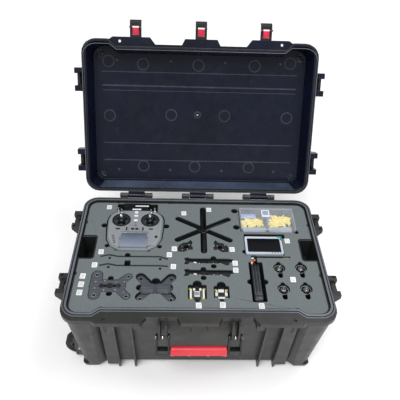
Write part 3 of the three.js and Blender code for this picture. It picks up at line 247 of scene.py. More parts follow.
# a lighter copy of the lid for its rear inner wall: painted highlight
LID_WALL_HIGHLIGHT = moulded("lid_wall_painted_highlight", "2a3444", "46536a", 0.22, slot="lid")
SEAL = moulded("seal", "1a1c20", "2a2c31", 0.35, 0.5, 0.03)
FOAM = foam_material()
GRIP = moulded("grip", "c92735", "de3a45", 0.38, 0.8, 0.06)
# a dark copy of the grip for its finger grooves: painted shade
GRIP_GROOVE_SHADE = moulded("grip_groove_painted_shade", "4d0811", "640d18", 0.5, slot="grip")
LOCK = moulded("lock", "d41d3c", "ea3050", 0.35, 0.7, 0.05)
TYRE = moulded("tyre", "141414", "202020", 0.75, 0.7, 0.2)
HUB = moulded("hub", "2c2d2e", "3a3b3c", 0.5, slot="tyre")
STEEL = metal("steel", "8d9093", "d7d9dc", 0.26)
SILVER = metal("silver", "c4c6c8", "f0f1f2", 0.2, slot="steel")
BRASS = moulded("brass", "d9b968", "f6e3a4", 0.25, slot="steel", Metallic=0.4)
COPPER = metal("copper", "6e3a18", "b8713a", 0.35, slot="bell", brushed=(1, 1, 6))
CARBON = carbon_material()
CARBON_DARK = moulded("carbon_dark", "07080a", "111317", 0.34, 0.6, 0.05, slot="carbon")
MOULDING = moulded("moulding", "08090a", "101113", 0.36, 0.6, 0.06)
PRINT = moulded("print", "0a0b0e", "15171a", 0.5, 0.4, 0.15, slot="moulding")
RADIO = moulded("radio", "868c91", "9da3a7", 0.34, 0.5, 0.02, Metallic=0.25)
RADIO_DARK = moulded("radio_dark", "060709", "0d0f12", 0.35, 0.5, 0.03, slot="radio")
RADIO_PALE = moulded("radio_pale", "cfd3d5", "e6e9ea", 0.35, 0.5, 0.02, slot="radio")
GIMBAL = moulded("gimbal", "24272c", "4c5159", 0.3, 0.6, 0.04, slot="radio")
PCB = moulded("board", "23261f", "34382a", 0.35, 0.6, 0.03)
CHIP = moulded("chip", "101214", "1d2023", 0.3, 0.4, 0.02, slot="board")
WHITE_PART = moulded("white_part", "cfd0cc", "ecece6", 0.4, 0.5, 0.02, slot="board")
YELLOW_PART = moulded("yellow_part", "c2bf3a", "dedb55", 0.45, 0.5, 0.03, slot="board")
WRAP = moulded("battery", "12151b", "1f232b", 0.24, 1.4, 0.12)
WRAP_PALE = moulded("battery_band", "3b414c", "4d535e", 0.25, slot="battery")
RED_LEAD = moulded("red_lead", "a31a24", "cf2c36", 0.4, slot="battery")
BELL = metal("bell", "15161a", "4a4d53", 0.32)
MONITOR = moulded("monitor", "aeb8c4", "ccd4dc", 0.36, 0.6, 0.03)
TEAL = moulded("teal", "1d6f72", "2f8f90", 0.4, slot="monitor")
CLEAR = clear_material()
YELLOW = moulded("printed_yellow", "f8e25c", "fff3a0", 0.5, 0.5, 0.15, slot="clear")
BLUE_BAG = moulded("bag_blue", "7f90bd", "a4b0d2", 0.2, 4, 1.2, slot="clear")
GREY_BAG = moulded("bag_grey", "8b93a0", "b9bfc9", 0.18, 4, 1.4, slot="clear")
PAPER = moulded("paper", "dfe1e2", "f2f3f3", 0.6, 0.4, 0.02, slot="foam")
INK = moulded("ink", "6d7072", "85888a", 0.7, slot="foam")
RADIO_FACE = 247.0  # height of the radio's front face
RADIO_Y = middle("radio_stick_left").y - 35  # middle of the radio, between its screen and its sticks
# the radio's screen is lighter towards its front edge: painted reflection
SCREEN = screen_material("radio_screen", "4a5568", "8b93a4", RADIO_Y - 72, RADIO_Y - 22, "radio", 0.2)
MONITOR_LOW, MONITOR_HIGH = span("monitor")
DISPLAY = screen_material("monitor_screen", "03060c", "020409", MONITOR_LOW.y, MONITOR_HIGH.y, "monitor")


# ---- drawing
def move(x, y, z):
    return Matrix.Translation((x, y, z))


def spin(degrees, axis="Z"):
    return Matrix.Rotation(math.radians(degrees), 4, axis)


def arc(x, y, radius, start, stop, steps=6):
    turns = [math.radians(start + (stop - start) * i / steps) for i in range(steps + 1)]
    return [(x + radius * math.cos(t), y + radius * math.sin(t)) for t in turns]


def circle(x, y, radius, steps=28):
    return arc(x, y, radius, 0, 360 * (steps - 1) / steps, steps - 1)


def round_rect(x, y, width, depth, radius, steps=5):
    u, v = width / 2 - radius, depth / 2 - radius
    corners = ((u, v, 0), (-u, v, 90), (-u, -v, 180), (u, -v, 270))
    return [p for a, b, t in corners for p in arc(x + a, y + b, radius, t, t + 90, steps)]


def inset(points, distance):
    """Every side of an outline moved in by a distance."""
    moved = []
    for i, point in enumerate(points):
        before, here, after = (Vector(p) for p in (points[i - 1], point, points[(i + 1) % len(points)]))
        a, b = (here - before).normalized(), (after - here).normalized()
        inward = Vector((-a.y - b.y, a.x + b.x))
        if inward.length < 1e-6:
            inward = Vector((-a.y, a.x))
        inward.normalize()
        reach = distance / max(0.5, a.x * inward.y - a.y * inward.x)
        moved.append(tuple(here + inward * reach))
    return moved


def smooth_path(points, steps=6):
    """A curve through the points."""
    points = [Vector(p) for p in points]
    ends = [points[0] * 2 - points[1], *points, points[-1] * 2 - points[-2]]
    path = []
    for a, b, c, d in zip(ends, ends[1:], ends[2:], ends[3:]):
        for i in range(steps):
            t = i / steps
            path.append(0.5 * (2 * b + (c - a) * t + (2 * a - 5 * b + 4 * c - d) * t ** 2
                               + (3 * b - a - 3 * c + d) * t ** 3))
    return [*path, points[-1]]


def pin(radius, half, ease, rise):
    """The profile of a chamfered pin about its own middle, for Draft.turned."""
    lower = [(0, -half), (radius - ease, -half), (radius, rise - half)]
    return lower + [(r, -z) for r, z in lower[::-1]]


def foot(node):
    """A place at the middle of a CAD node's underside."""
    centre = middle(node)
    return move(centre.x, centre.y, span(node)[0].z)


class Draft:
    """A mesh drawn in millimetres as one closed shape after another, each in the finish last named."""

    def __init__(self):
        self.mesh = bmesh.new()
        self.finishes = []
        self.place = Matrix.Identity(4)
        self.index = 0

    def use(self, finish):
        if finish not in self.finishes:
            self.finishes.append(finish)
        self.index = self.finishes.index(finish)
        return self

    def at(self, place):
        self.place = place
        return self

    def face(self, corners):
        made = self.mesh.faces.new(corners)
        made.material_index = self.index
        made.smooth = True

    def skin(self, rings, closed=False):
        """A skin through rings of points, capped at its two ends or closed on itself."""
        rows = [[self.mesh.verts.new(self.place @ Vector(p)) for p in ring] for ring in rings]
        for a, b in zip(rows, rows[1:] + (rows[:1] if closed else [])):
            for i, corner in enumerate(a):
                j = (i + 1) % len(a)
                self.face([corner, a[j], b[j], b[i]])
        if not closed:
            self.face(rows[0][::-1])
            self.face(rows[-1])
        return self

    def slab(self, outline, z0, z1, edge=0.0):
        """An outline between two heights, with its top and bottom edges eased."""
        levels = [(z0, 0), (z1, 0)]
        if edge:
            levels = [(z0, edge), (z0 + edge, 0), (z1 - edge, 0), (z1 - edge * 0.3, edge * 0.3), (z1, edge)]
        return self.skin([[(x, y, z) for x, y in (inset(outline, e) if e else outline)] for z, e in levels])

    def block(self, x0, x1, y0, y1, z0, z1, edge=0.3):
        radius = min(edge * 1.5, (x1 - x0) / 2.5, (y1 - y0) / 2.5)
        outline = round_rect((x0 + x1) / 2, (y0 + y1) / 2, x1 - x0, y1 - y0, radius, 2)
        return self.slab(outline, z0, z1, min(edge, (z1 - z0) / 3))

    def disc(self, x, y, radius, z0, z1, edge=0.0, steps=28):
        return self.slab(circle(x, y, radius, steps), z0, z1, edge)

    def ring(self, x, y, outer, inner, z0, z1, steps=36):
        ease = min(0.3, (outer - inner) / 4)
        section = [(outer - ease, z0), (outer, z0 + ease), (outer, z1 - ease), (outer - ease, z1),
                   (inner + ease, z1), (inner, z1 - ease), (inner, z0)]
        return self.skin([[(u, v, z) for u, v in circle(x, y, r, steps)] for r, z in section], closed=True)

    def turned(self, profile, steps=28, closed=False):
        """A profile of radius and height turned about the local Z axis."""
        rings = [[(x, y, z) for x, y in circle(0, 0, max(r, 0.03), steps)] for r, z in profile]
        return self.skin(rings, closed)

    def wire(self, points, radius, sides=10, steps=6):
        path = smooth_path(points, steps)
        rings = []
        side = Vector((0.31, 0.57, 0.76))
        for i, here in enumerate(path):
            along = (path[min(i + 1, len(path) - 1)] - path[max(i - 1, 0)]).normalized()
            side = (side - along * side.dot(along)).normalized()
            other = along.cross(side)
            rings.append([here + (side * u + other * v) for u, v in circle(0, 0, radius, sides)])
        return self.skin(rings)

    def piece(self, name, node, sharp=32, replaces=()):
        """Ends the drawing: a finished object that moves with the body of a CAD node."""
        bmesh.ops.recalc_face_normals(self.mesh, faces=self.mesh.faces)
        bmesh.ops.scale(self.mesh, vec=(MM, MM, MM), verts=self.mesh.verts)
        mesh = bpy.data.meshes.new(name)
        self.mesh.to_mesh(mesh)
        self.mesh.free()
        mesh.set_sharp_from_angle(angle=math.radians(sharp))
        return settle(bpy.data.objects.new(name, mesh), self.finishes, node, replaces)

    def stand_in(self, node, sharp=32):
        """Ends the drawing as the object that stands for a CAD node."""
        return self.piece(node + "_skin", node, sharp, [node])


def settle(obj, finishes, node, replaces=()):
    """Links a finished object, gives it its materials and hangs it on the body of a CAD node."""
    bpy.context.scene.collection.objects.link(obj)
    for finish in finishes:
        obj.data.materials.append(finish)
    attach(obj, BODY_OF[node])
    if replaces:
        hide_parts(*replaces)
    return obj


def skin_of(node, finish, edge_mm=0.8, paint=(), segments=2):
    """A copy of a CAD node with rounded edges, which stands for it.

    paint is a list of (finish, test of a face's middle in millimetres) for parts in another finish.
    """
    clean = bmesh.new()
    clean.from_mesh(frame["nodes"][node].data)
    bmesh.ops.remove_doubles(clean, verts=clean.verts, dist=2e-6)
    finishes = [finish, *[f for f, _ in paint]]
    for face in clean.faces:
        face.smooth = True
        face.material_index = 0
        spot = face.calc_center_median() / MM
        for i, (_, test) in enumerate(paint):
            if test(spot):
                face.material_index = i + 1
    mesh = bpy.data.meshes.new(node + "_skin")
    clean.to_mesh(mesh)
    clean.free()
    obj = settle(bpy.data.objects.new(node + "_skin", mesh), finishes, node, [node])
    ease = obj.modifiers.new("eased_edges", "BEVEL")
    ease.width = edge_mm * MM
    ease.segments = segments
    ease.limit_method = "ANGLE"
    ease.angle_limit = math.radians(EASED_FROM)
    ease.use_clamp_overlap = False
    ease.miter_outer = "MITER_ARC"
    flat = obj.modifiers.new("flat_faces", "WEIGHTED_NORMAL")
    flat.weight = 100
    flat.keep_sharp = True
    mesh.set_sharp_from_angle(angle=math.radians(SHARP_FROM))
    return obj


# ---- case
def case_shells():
    top = span("base_tub")[1].z
    # the tub's top faces take the lighter finish as a painted highlight
    skin_of("base_tub", SHELL, 0.6, paint=[(RIM_TOP_HIGHLIGHT, lambda p: p.z > top - 0.5)])
    rim_lines()
    # the lid's rear inner wall takes the lighter finish as a painted highlight
    skin_of("lid_shell", LID, 0.7, paint=[(LID_WALL_HIGHLIGHT, on_lid_rear_wall)])
    skin_of("lid_gasket", SEAL, 0.4)
    skin_of("underside_cover", SHELL, 0.8)
    for place in ("left", "centre", "right"):
        skin_of(f"hinge_pin_{place}", STEEL, 0.5)


def on_lid_rear_wall(spot):
    """True for the inner wall of the lid beside the hinges, painted lighter as a painted highlight for the light
    it catches when the lid is open.
    """
    shut = lid_place().inverted() @ spot
    above_rim = shut.z - JOINTS["lid_turn"]["pos_m"][2] / MM
    return abs(shut.x) < 285 and 190 < shut.y < 214 and 6 < above_rim < 52


def outlines_at(node, height):
    """The edges of a node's level faces at a height, widest first, each run as its faces do."""
    mesh = bmesh.new()
    mesh.from_mesh(frame["nodes"][node].data)
    bmesh.ops.remove_doubles(mesh, verts=mesh.verts, dist=2e-6)
    upward = [face for face in mesh.faces if face.normal.z > 0.99]
    flat = {face for face in upward if abs(face.calc_center_median().z / MM - height) < 0.01}
    onward = {}
    for face in flat:
        for loop in face.loops:
            if not any(other in flat for other in loop.edge.link_faces if other is not face):
                onward[loop.vert] = loop.link_loop_next.vert
    outlines = []
    while onward:
        start, here = onward.popitem()
        outline = [start]
        while here in onward:
            outline.append(here)
            here = onward.pop(here)
        outlines.append([(v.co.x / MM, v.co.y / MM) for v in outline])
    mesh.free()
    return sorted(outlines, key=lambda points: min(x for x, _ in points) - max(x for x, _ in points))


def band(draft, edge, near, far, z0, z1):
    """A flat strip between two distances outside an outline."""
    a, b = inset(edge, -near), inset(edge, -far)
    rings = ((a, z0), (b, z0), (b, z1), (a, z1))
    return draft.skin([[(x, y, z) for x, y in line] for line, z in rings], closed=True)


def rim_lines():
    """The raised lines round the mouth of the base, lighter as painted highlights, the groove between them near
    black as painted shade, and a dark strip round the foam's edge, the painted shade in the gap between foam and
    wall.
    """
    top = JOINTS["lid_turn"]["pos_m"][2] / MM
    mouth = outlines_at("base_tub", top)[1][::-1]
    draft = Draft()
    # the raised lines in the lighter finish are painted highlight; the groove between them, near black, is painted
    # shade
    lines = ((RIM_LINE_HIGHLIGHT, 0.5, 5.5, 0.25), (RIM_GROOVE_SHADE, 5.6, 9, 0.12), (RIM_LINE_HIGHLIGHT, 9.1, 11.6, 0.2))
    for finish, near, far, rise in lines:
        band(draft.use(finish), mouth, near, far, top - 1, top + rise)
    draft.piece("rim_lines", "base_tub")
    # a light line along the lid's rim: painted highlight
    line = Draft().use(RIM_LINE_HIGHLIGHT).at(lid_place())
    band(line, mouth, 10.9, 12.4, top + 0.3, top + 1)
    line.piece("lid_rim_painted_highlight", "lid_shell")
    foam_top = span("foam_tray")[1].z
    # a dark strip along the foam's edge: painted shade in the gap between foam and wall
    joint = Draft().use(RIM_GROOVE_SHADE)
    band(joint, outlines_at("foam_tray", foam_top)[0], -3.8, 0.05, foam_top - 1, foam_top + 0.3)
    joint.piece("foam_edge_painted_shade", "foam_tray")


def lid_place():
    """Carries a point drawn with the lid shut to where it is with the lid open."""
    turn = JOINTS["lid_turn"]
    pivot = Vector(turn["pos_m"]) / MM
    open_turn = spin(turn["range_deg"][0], "X")
    return Matrix.Translation(pivot) @ open_turn @ Matrix.Translation(-pivot)


def lid_marks():
    """Moulding marks on the lid's inner face: long low ridges, ejector rings, a gate nub and corner fins, lighter
    than the lid as painted highlights.
    """
    pivot = Vector(JOINTS["lid_turn"]["pos_m"]) / MM
    seam, depth = 0.4, 58  # the gap under the shut lid, and from its lower edge to its ceiling
    ceiling = pivot.z + seam + depth
    draft = Draft().use(LID_MARK_HIGHLIGHT).at(lid_place())
    ridges = ((365, 1.6, 0.7), (325, 2.4, 1.0), (311, 1.2, 0.5), (152, 1.6, 0.7), (98, 1.6, 0.7))
    for reach, width, height in ridges:
        y = pivot.y - reach
        draft.block(-292, 292, y - width, y + width, ceiling - height, ceiling + 1, 0.4)
    rings = ((-272, 395), (-170, 388), (-5, 388), (163, 390), (270, 400), (-272, 235), (-85, 240), (78, 240),
             (270, 238), (-170, 80), (-10, 80), (160, 80))
    for x, reach in rings:
        draft.ring(x, pivot.y - reach, 18, 15, ceiling - 0.6, ceiling + 0.6)
    for x in (-247, -87, 75, 240):
        draft.disc(x, pivot.y - 398, 4, ceiling - 0.8, ceiling + 0.5, 0.3)
        draft.disc(x, pivot.y - 68, 4, ceiling - 0.8, ceiling + 0.5, 0.3)
    draft.ring(-5, pivot.y - 242, 11, 7.5, ceiling - 1.4, ceiling + 0.6)
    # the gate nub in polished silver: painted highlight for the glint on it
    draft.use(SILVER).disc(-5, pivot.y - 242, 3.4, ceiling - 2.4, ceiling + 0.5, 0.6)
    draft.use(LID_MARK_HIGHLIGHT)
    for side_x in (-1, 1):
        for middle_y, side_y in ((175, 1), (-165, -1)):
            for turn in (12, 30, 48, 66, 84):
                away = math.radians(turn)
                out = Vector((side_x * math.cos(away), side_y * math.sin(away)))
                centre = Vector((side_x * 288, middle_y))
                fin = ((5, 0.4), (17, 1.5), (24, 22))
                draft.wire([(*(centre + out * reach), ceiling - drop) for reach, drop in fin], 1.3, 6, 3)
    draft.piece("lid_marks", "lid_shell")


def latches():
    names = ["front_left", "front_centre", "front_right", "side_left_front", "side_left_rear",
             "side_right_front", "side_right_rear"]
    for name in names:
        skin_of(f"{name}_latch", MOULDING, 0.7)
        skin_of(f"{name}_lock", LOCK, 0.9, segments=3)
        thumb_ridges(name)


def thumb_ridges(name):
    """Three low bars across the lock's face, for the thumb that pushes it."""
    turn = JOINTS[f"{name}_latch_turn"]
    slide = Vector(JOINTS[f"{name}_lock_slide"]["axis"]).normalized()
    across = Vector((1, 0, 0)) if name.startswith("front") else Vector(turn["axis"]).normalized()
    out = across.cross(slide)
    centre = middle(f"{name}_lock")
    lift = 1 if out.dot(centre - Vector(turn["pos_m"]) / MM) > 0 else -1
    levels = sorted((lift * 2.5, lift * 4.5))
    axes = Matrix((across, slide, out)).transposed().to_4x4()
    draft = Draft().use(LOCK).at(Matrix.Translation(centre) @ axes)
    for step in (-3, 0, 3):
        draft.block(-6, 6, step - 0.7, step + 0.7, *levels, 0.3)
    draft.piece(f"{name}_lock_ridges", f"{name}_lock")


def front_handle():
    skin_of("handle_frame", MOULDING, 0.8)
    low, high = span("handle_grip")
    y, z = (low.y + high.y) / 2, (low.z + high.z) / 2
    deep, tall = (high.y - low.y) / 2, (high.z - low.z) / 2
    section = [(math.cos(t) * (1 - 0.12 * math.sin(t)), math.sin(t)) for t in
               (math.radians(a) for a in range(0, 360, 12))]
    grooves = [(low.x + 8, -26), (-22, 22), (26, high.x - 8)]

    def ring(x, pinch, sunk=1):
        """The grip's outline at x; sunk draws in the stretch where a finger groove runs."""
        points = []
        for u, v in section:
            reach = sunk if u < -0.55 and -0.62 < v < -0.25 else 1
            points.append((x, y + u * deep * pinch * reach, z + v * tall * pinch))
        return points

    rings = [ring(low.x, 0.9), ring(low.x + 1.2, 0.97), ring(low.x + 3, 1)]
    for start, stop in grooves:
        rings += [ring(start, 1), ring(start + 0.6, 1, 0.88), ring(stop - 0.6, 1, 0.88), ring(stop, 1)]
    rings += [ring(high.x - 3, 1), ring(high.x - 1.2, 0.97), ring(high.x, 0.9)]
    draft = Draft().use(GRIP).skin(rings)
    # dark red cords along the finger grooves: painted shade in the grooves
    draft.use(GRIP_GROOVE_SHADE)
    for start, stop in grooves:
        low_line = (y - deep * 0.84, z - tall * 0.44)
        draft.wire([(x, *low_line) for x in (start + 2, (start + stop) / 2, stop - 2)], 2.4, 8)
    draft.stand_in("handle_grip", sharp=40)
    bolts = Draft().use(SILVER)
    pivot = Vector(JOINTS["handle_swing"]["pos_m"]) / MM
    for side in (-1, 1):
        for x in (76, 90, 106.5):
            bolts.at(move(side * x, pivot.y, pivot.z) @ spin(90, "Y"))
            bolts.turned(pin(5, 1.6, 0.4, 0.6), 20)
    bolts.piece("handle_pin_ends", "handle_frame")


def wheels():
    half = 13.8  # half of the tyre's width
    for name in ("wheel_front", "wheel_rear"):
        low, high = span(name)
        radius, reach = (high.x - low.x) / 2, (high.y - low.y) / 2
        axle = Matrix.Translation((low + high) / 2) @ spin(90, "X")
        draft = Draft().use(TYRE).at(axle)
        tread = [(27, -half), (radius - 5, -half), (radius - 1.6, -half + 2), (radius, -half + 5)]
        for groove in (-6, 0, 6):
            tread += [(radius, groove - 1.2), (radius - 1.2, groove - 0.8), (radius - 1.2, groove + 0.8),
                      (radius, groove + 1.2)]
        tread += [(radius, half - 5), (radius - 1.6, half - 2), (radius - 5, half), (27, half)]
        draft.turned(tread, 56, closed=True)
        draft.use(HUB)
        draft.turned([(27.2, -half + 2), (27.2, half - 2), (22, half - 3), (22, -half + 3)], 40, closed=True)
        draft.turned(pin(10, half - 1, 1, 1.5))
        for i in range(5):
            draft.at(axle @ spin(72 * i)).block(8, 23, -3.4, 3.4, -half + 4, half - 4, 0.8)
        draft.use(STEEL).at(axle).turned(pin(5, reach, 1, 1))
        draft.stand_in(name)


def pull_handle():
    grip_from = span("trolley_handle")[1].x - 26
    tubes = [(STEEL, lambda p: p.x < grip_from and abs(p.y) > 45)]
    skin_of("trolley_handle", MOULDING, 0.5, paint=tubes)


# ---- foam and its labels
def foam():
    tray = skin_of("foam_tray", FOAM, 0.5)
    lower = skin_of("lower_foam", FOAM, 1.5, segments=3)


def labels():
    """Paper tags beside the pockets, each ruled with a few grey bars."""
    top = span("foam_tray")[1].z
    draw = random.Random(4)
    places = ((-265, 187), (-266, 8), (-80, 0), (-277, -39), (-68, -42), (-67, 22), (93, 22), (-302, -77),
              (-302, -104), (-302, -130), (-42, 165), (33, 182), (98, -28), (98, -52), (-2, -167),
              (58, -165), (155, -167), (247, -82), (252, 57))
    draft = Draft()
    for x, y in places:
        draft.at(move(x, y, top) @ spin(draw.uniform(-3, 3)))
        draft.use(PAPER).slab(round_rect(0, 0, 14, 17, 1, 2), -0.2, 0.45)
        draft.use(INK)
        for row in (4.6, 1.4, -1.8, -5):
            start = -5
            while start < 3.5:
                wide = draw.uniform(1.4, 3.4)
                draft.slab(round_rect(start + wide / 2, row, wide, 1.5, 0.3, 1), 0.3, 0.55)
                start += wide + 0.9
    draft.piece("foam_labels", "foam_tray")


# ---- radio
def radio():
    left, right = middle("radio_stick_left"), middle("radio_stick_right")
    x, y, face = (left.x + right.x) / 2, RADIO_Y, RADIO_FACE

    def in_stick_well(p):
        beside = min(abs(p.x - left.x), abs(p.x - right.x))
        return p.z < face - 11 and abs(p.y - left.y) < 26 and beside < 26

    skin_of("radio_body", RADIO, 1.2, segments=3, paint=[
        (RADIO_DARK, lambda p: p.y > y + 81 and p.z < face - 10),
        (RADIO_DARK, in_stick_well),
    ])
    draft = Draft().use(RADIO_DARK)
    top_panel = [(-38, 107), (-36, 74), (-22, 66), (22, 66), (34, 74), (34, 107)]
    draft.slab([(x + u, y + v) for u, v in top_panel[::-1]], face - 22, face - 3, 2)
    draft.use(RADIO_PALE).block(x - 6, x + 34, y + 95, y + 99, face - 4, face - 1.4, 0.6)
    draft.block(x - 14, x + 12, y + 80, y + 86, face - 4, face - 2.4, 0.5)
    for stick in (left, right):
        gimbal(draft, stick.x, stick.y, face)
    radio_buttons(draft, x, y, face)
    radio_display(draft, x, y, face)
    draft.use(RADIO_DARK)
    for side in (-1, 1):
        draft.at(move(x + side * 51, y + 90, face - 14))
        draft.turned([(0, 0), (5, 0), (5, 6), (3.6, 8), (0, 8)], 20)
    draft.piece("radio_trim", "radio_body")


def radio_buttons(draft, x, y, face):
    """Buttons and trims between and below the sticks, and dark dashes at the left as the painted shade in the
    speaker slots.
    """
    draft.use(RADIO_PALE)
    draft.block(x - 5, x + 5, y + 62, y + 71, face - 1, face + 1.6, 0.8)
    for offset in (52, 33):
        draft.slab(round_rect(x, y + offset, 12, 7, 3, 4), face - 1, face + 1.4, 0.6)
    draft.use(RADIO_DARK)
    draft.disc(x, y + 24, 1.4, face - 0.5, face + 0.5)
    draft.ring(x + 1, y + 13, 3, 2, face - 0.5, face + 0.6)
    trims = ((-48, 12, 4.4), (-23, 4, 12), (-6, 9, 6), (6, 9, 6), (23, 4, 12), (46, 12, 3.8))
    for offset, wide, deep in trims:
        draft.slab(round_rect(x + offset, y - 2, wide, deep, 1.4, 3), face - 0.5, face + 1.7, 0.5)
    # dark raised dashes: painted shade for the speaker slots, which are not cut
    slant = math.degrees(0.5)
    for i in range(5):
        draft.at(move(x - 59 + 1.8 * i, y - 28 - 7 * i, face) @ spin(slant))
        draft.slab(round_rect(0, 0, 7.5, 2.8, 1.2, 3), -1, 0.5, 0.2)
    draft.at(Matrix.Identity(4)).disc(x + 62, y - 32, 4.4, face - 1, face + 1.5, 0.6)


def radio_display(draft, x, y, face):
    """The radio's screen with a bright bar along its top and its two sides."""
    draft.use(SILVER)
    bar = ((36.4, -2), (39.4, -2), (39.4, 3.4), (37, 3.4))
    for side in (-1, 1):
        draft.skin([[(x + side * away, y + end, face + rise) for away, rise in bar] for end in (-36, -74)])
    draft.block(x - 39, x + 39, y - 20, y - 16, face - 1, face + 3.6, 0.6)
    draft.use(SCREEN).slab(round_rect(x, y - 47, 72, 52, 2, 3), face + 2, face + 3.5, 0.3)


def gimbal(draft, x, y, face):
    """The round stick housing: a bevelled rim, a sunk floor with crossed slots and two yoke arms."""
    draft.use(RADIO_DARK).ring(x, y, 26.4, 22.5, face - 9, face + 0.9)
    draft.use(GIMBAL).ring(x, y, 22.6, 20, face - 12, face - 1.2)
    draft.use(RADIO_DARK).disc(x, y, 24, face - 13, face - 10.4)
    draft.use(GIMBAL)
    for turn in range(0, 360, 45):
        draft.at(move(x, y, 0) @ spin(turn + 22)).block(13, 19.6, -1.6, 1.6, face - 11, face - 6.5, 0.5)
    for turn in (0, 90, 180, 270):
        draft.at(move(x, y, 0) @ spin(turn))
        draft.use(GIMBAL).block(10, 21, -3.2, 3.2, face - 10.6, face - 5.4, 0.8)
        draft.use(SILVER).disc(17.5, 0, 1.2, face - 5.6, face - 4.9)
    draft.at(Matrix.Identity(4))


def stick(node):
    """A stick on its ball, with a ridged silver end."""
    low, high = span(node)
    tall = high.z - low.z
    draft = Draft().use(MOULDING).at(foot(node))
    ball = [math.radians(a) for a in range(4, 172, 12)]
    draft.turned([(8 * math.sin(a), 8 - 8 * math.cos(a)) for a in ball])
    shaft = [(0, 12), (2.2, 12), (2.2, tall - 13), (3.2, tall - 12)]
    for i in range(5):
        z = tall - 11 + 2 * i
        shaft += [(3.6, z), (3.6, z + 1.2), (3.1, z + 1.5)]
    draft.use(SILVER).turned([*shaft, (2.6, tall), (0, tall)])
    draft.stand_in(node)


def toggle(node):
    """A bat-shaped toggle and the six-sided nut round its foot."""
    low, high = span(node)
    tall = high.z - low.z
    draft = Draft().use(SILVER).at(foot(node))
    draft.turned([(0, 0), (2.8, 0), (3, 0.5), (3, 2.4), (1.6, 3), (1.3, 5), (1.9, tall - 4),
                  (2.6, tall - 2), (2.2, tall - 0.5), (0, tall)], 20)
    draft.stand_in(node)
    nut = Draft().use(STEEL).at(move(middle(node).x, middle(node).y, RADIO_FACE + 0.7))
    nut.turned(pin(4.6, 0.5, 0.3, 0.3), 6)
    nut.piece(f"{node}_nut", "radio_body")


def sticks_and_toggles():
    for name in ("left", "right"):
        stick(f"radio_stick_{name}")
    for name in ("outer_left", "inner_left", "inner_right", "outer_right"):
        toggle(f"radio_toggle_{name}")


# ---- propellers, plates and brackets
def propellers():
    """Three-bladed propellers with twisted, cambered blades; the two lie crossed over each other."""
    hub = [(2.5, 0), (8.4, 0), (9, 0.6), (9, 6.2), (8.2, 7), (4.4, 7), (4.0, 6.4), (2.5, 6.4)]
    blade = [blade_section(share) for share in (0, 0.06, 0.14, 0.25, 0.38, 0.52, 0.66, 0.8, 0.9, 0.96, 1)]
    for name, start in (("propeller_lower", 90), ("propeller_upper", 30)):
        low = span(name)[0].z
        draft = Draft().use(MOULDING).at(move(PROP_X, PROP_Y, low))
        draft.turned(hub, 32, closed=True)
        for i in range(3):
            draft.at(move(PROP_X, PROP_Y, low + 3.4) @ spin(start + 120 * i)).skin(blade)
        draft.stand_in(name, sharp=50)


def blade_section(share):
    """One cross-section of a blade, from its root at 0 to its tip at 1."""
    root, tip = 6.5, 88.5
    reach = root + (tip - root) * share
    chord = 7.5 + 6.2 * math.sin(min(1, share * 1.9) * math.pi / 2) - 4.2 * max(0, share - 0.45) / 0.55
    if share > 0.93:
        chord *= 0.86 if share < 1 else 0.5
    pitch = math.radians(26 - 17 * share)
    thick = 1.9 - 1.2 * share
    points = []
    for t in range(0, 360, 30):
        u, v = math.cos(math.radians(t)), math.sin(math.radians(t))
        across = u * chord / 2
        height = v * thick / 2 + 0.6 * (1 - u * u)
        points.append((reach, across * math.cos(pitch) - height * math.sin(pitch),
                       across * math.sin(pitch) + height * math.cos(pitch)))
    return points


def screw(draft, x, y, z, radius=2.4):
    """A button head, with a dark hexagon on it as the painted shade in its hex socket."""
    draft.at(move(x, y, z))
    head = [(0, -0.5), (1, -0.5), (1, 0.4), (0.85, 1.0), (0.5, 1.25), (0, 1.3)]
    draft.use(SILVER).turned([(radius * share, height) for share, height in head], 18)
    # a dark hexagon on the head: painted shade for the socket, which is not sunk
    draft.use(MOULDING).turned([(0, 1), (radius * 0.42, 1), (radius * 0.42, 1.38), (0, 1.38)], 6)
    draft.at(Matrix.Identity(4))


def frame_plates():
    for node in ("frame_top_plate", "frame_bottom_plate"):
        skin_of(node, CARBON, 0.35)
    for node in ("side_plate_rear", "side_plate_front", "short_plate_rear", "short_plate_front"):
        skin_of(node, CARBON_DARK, 0.3)
    for node in ("camera_bracket_left", "camera_bracket_right"):
        skin_of(node, PRINT, 0.8)
        centre, top = middle(node), span(node)[1].z
        draft = Draft()
        for dx, dy in ((-9, -12), (10, 7), (-10, 2), (5, -9)):
            screw(draft, centre.x + dx, centre.y + dy, top, 1.7)
        draft.piece(node + "_screws", node)
    top_plate_fittings()
    bottom_plate_fittings()
    for node in ("short_plate_rear", "short_plate_front"):
        clip(node)


def top_plate_fittings():
    """Screws, dark discs as the painted shade in the finger hole's three lobes, and a steel eye at each corner."""
    top = span("frame_top_plate")[1].z
    draft = Draft()
    screws = ((-266, -94), (-266, -115), (-243, -92), (-243, -121), (-214, -95), (-214, -120), (-193, -94),
              (-192, -127))
    for x, y in screws:
        screw(draft, x, y, top, 2.0)
    # dark discs lying on the plate: painted shade for the finger hole, which is not cut
    draft.use(CARBON_DARK)
    for x, radius in ((-250, 6.5), (-229, 9), (-207, 6.5)):
        draft.disc(x, -107, radius, top - 0.4, top + 0.2)
    draft.use(STEEL)
    for x, y in ((-265, -72), (-265, -137), (-184, -77), (-184, -140)):
        draft.ring(x, y, 5.6, 4.1, top - 0.6, top + 0.5)
    draft.piece("top_plate_screws", "frame_top_plate")


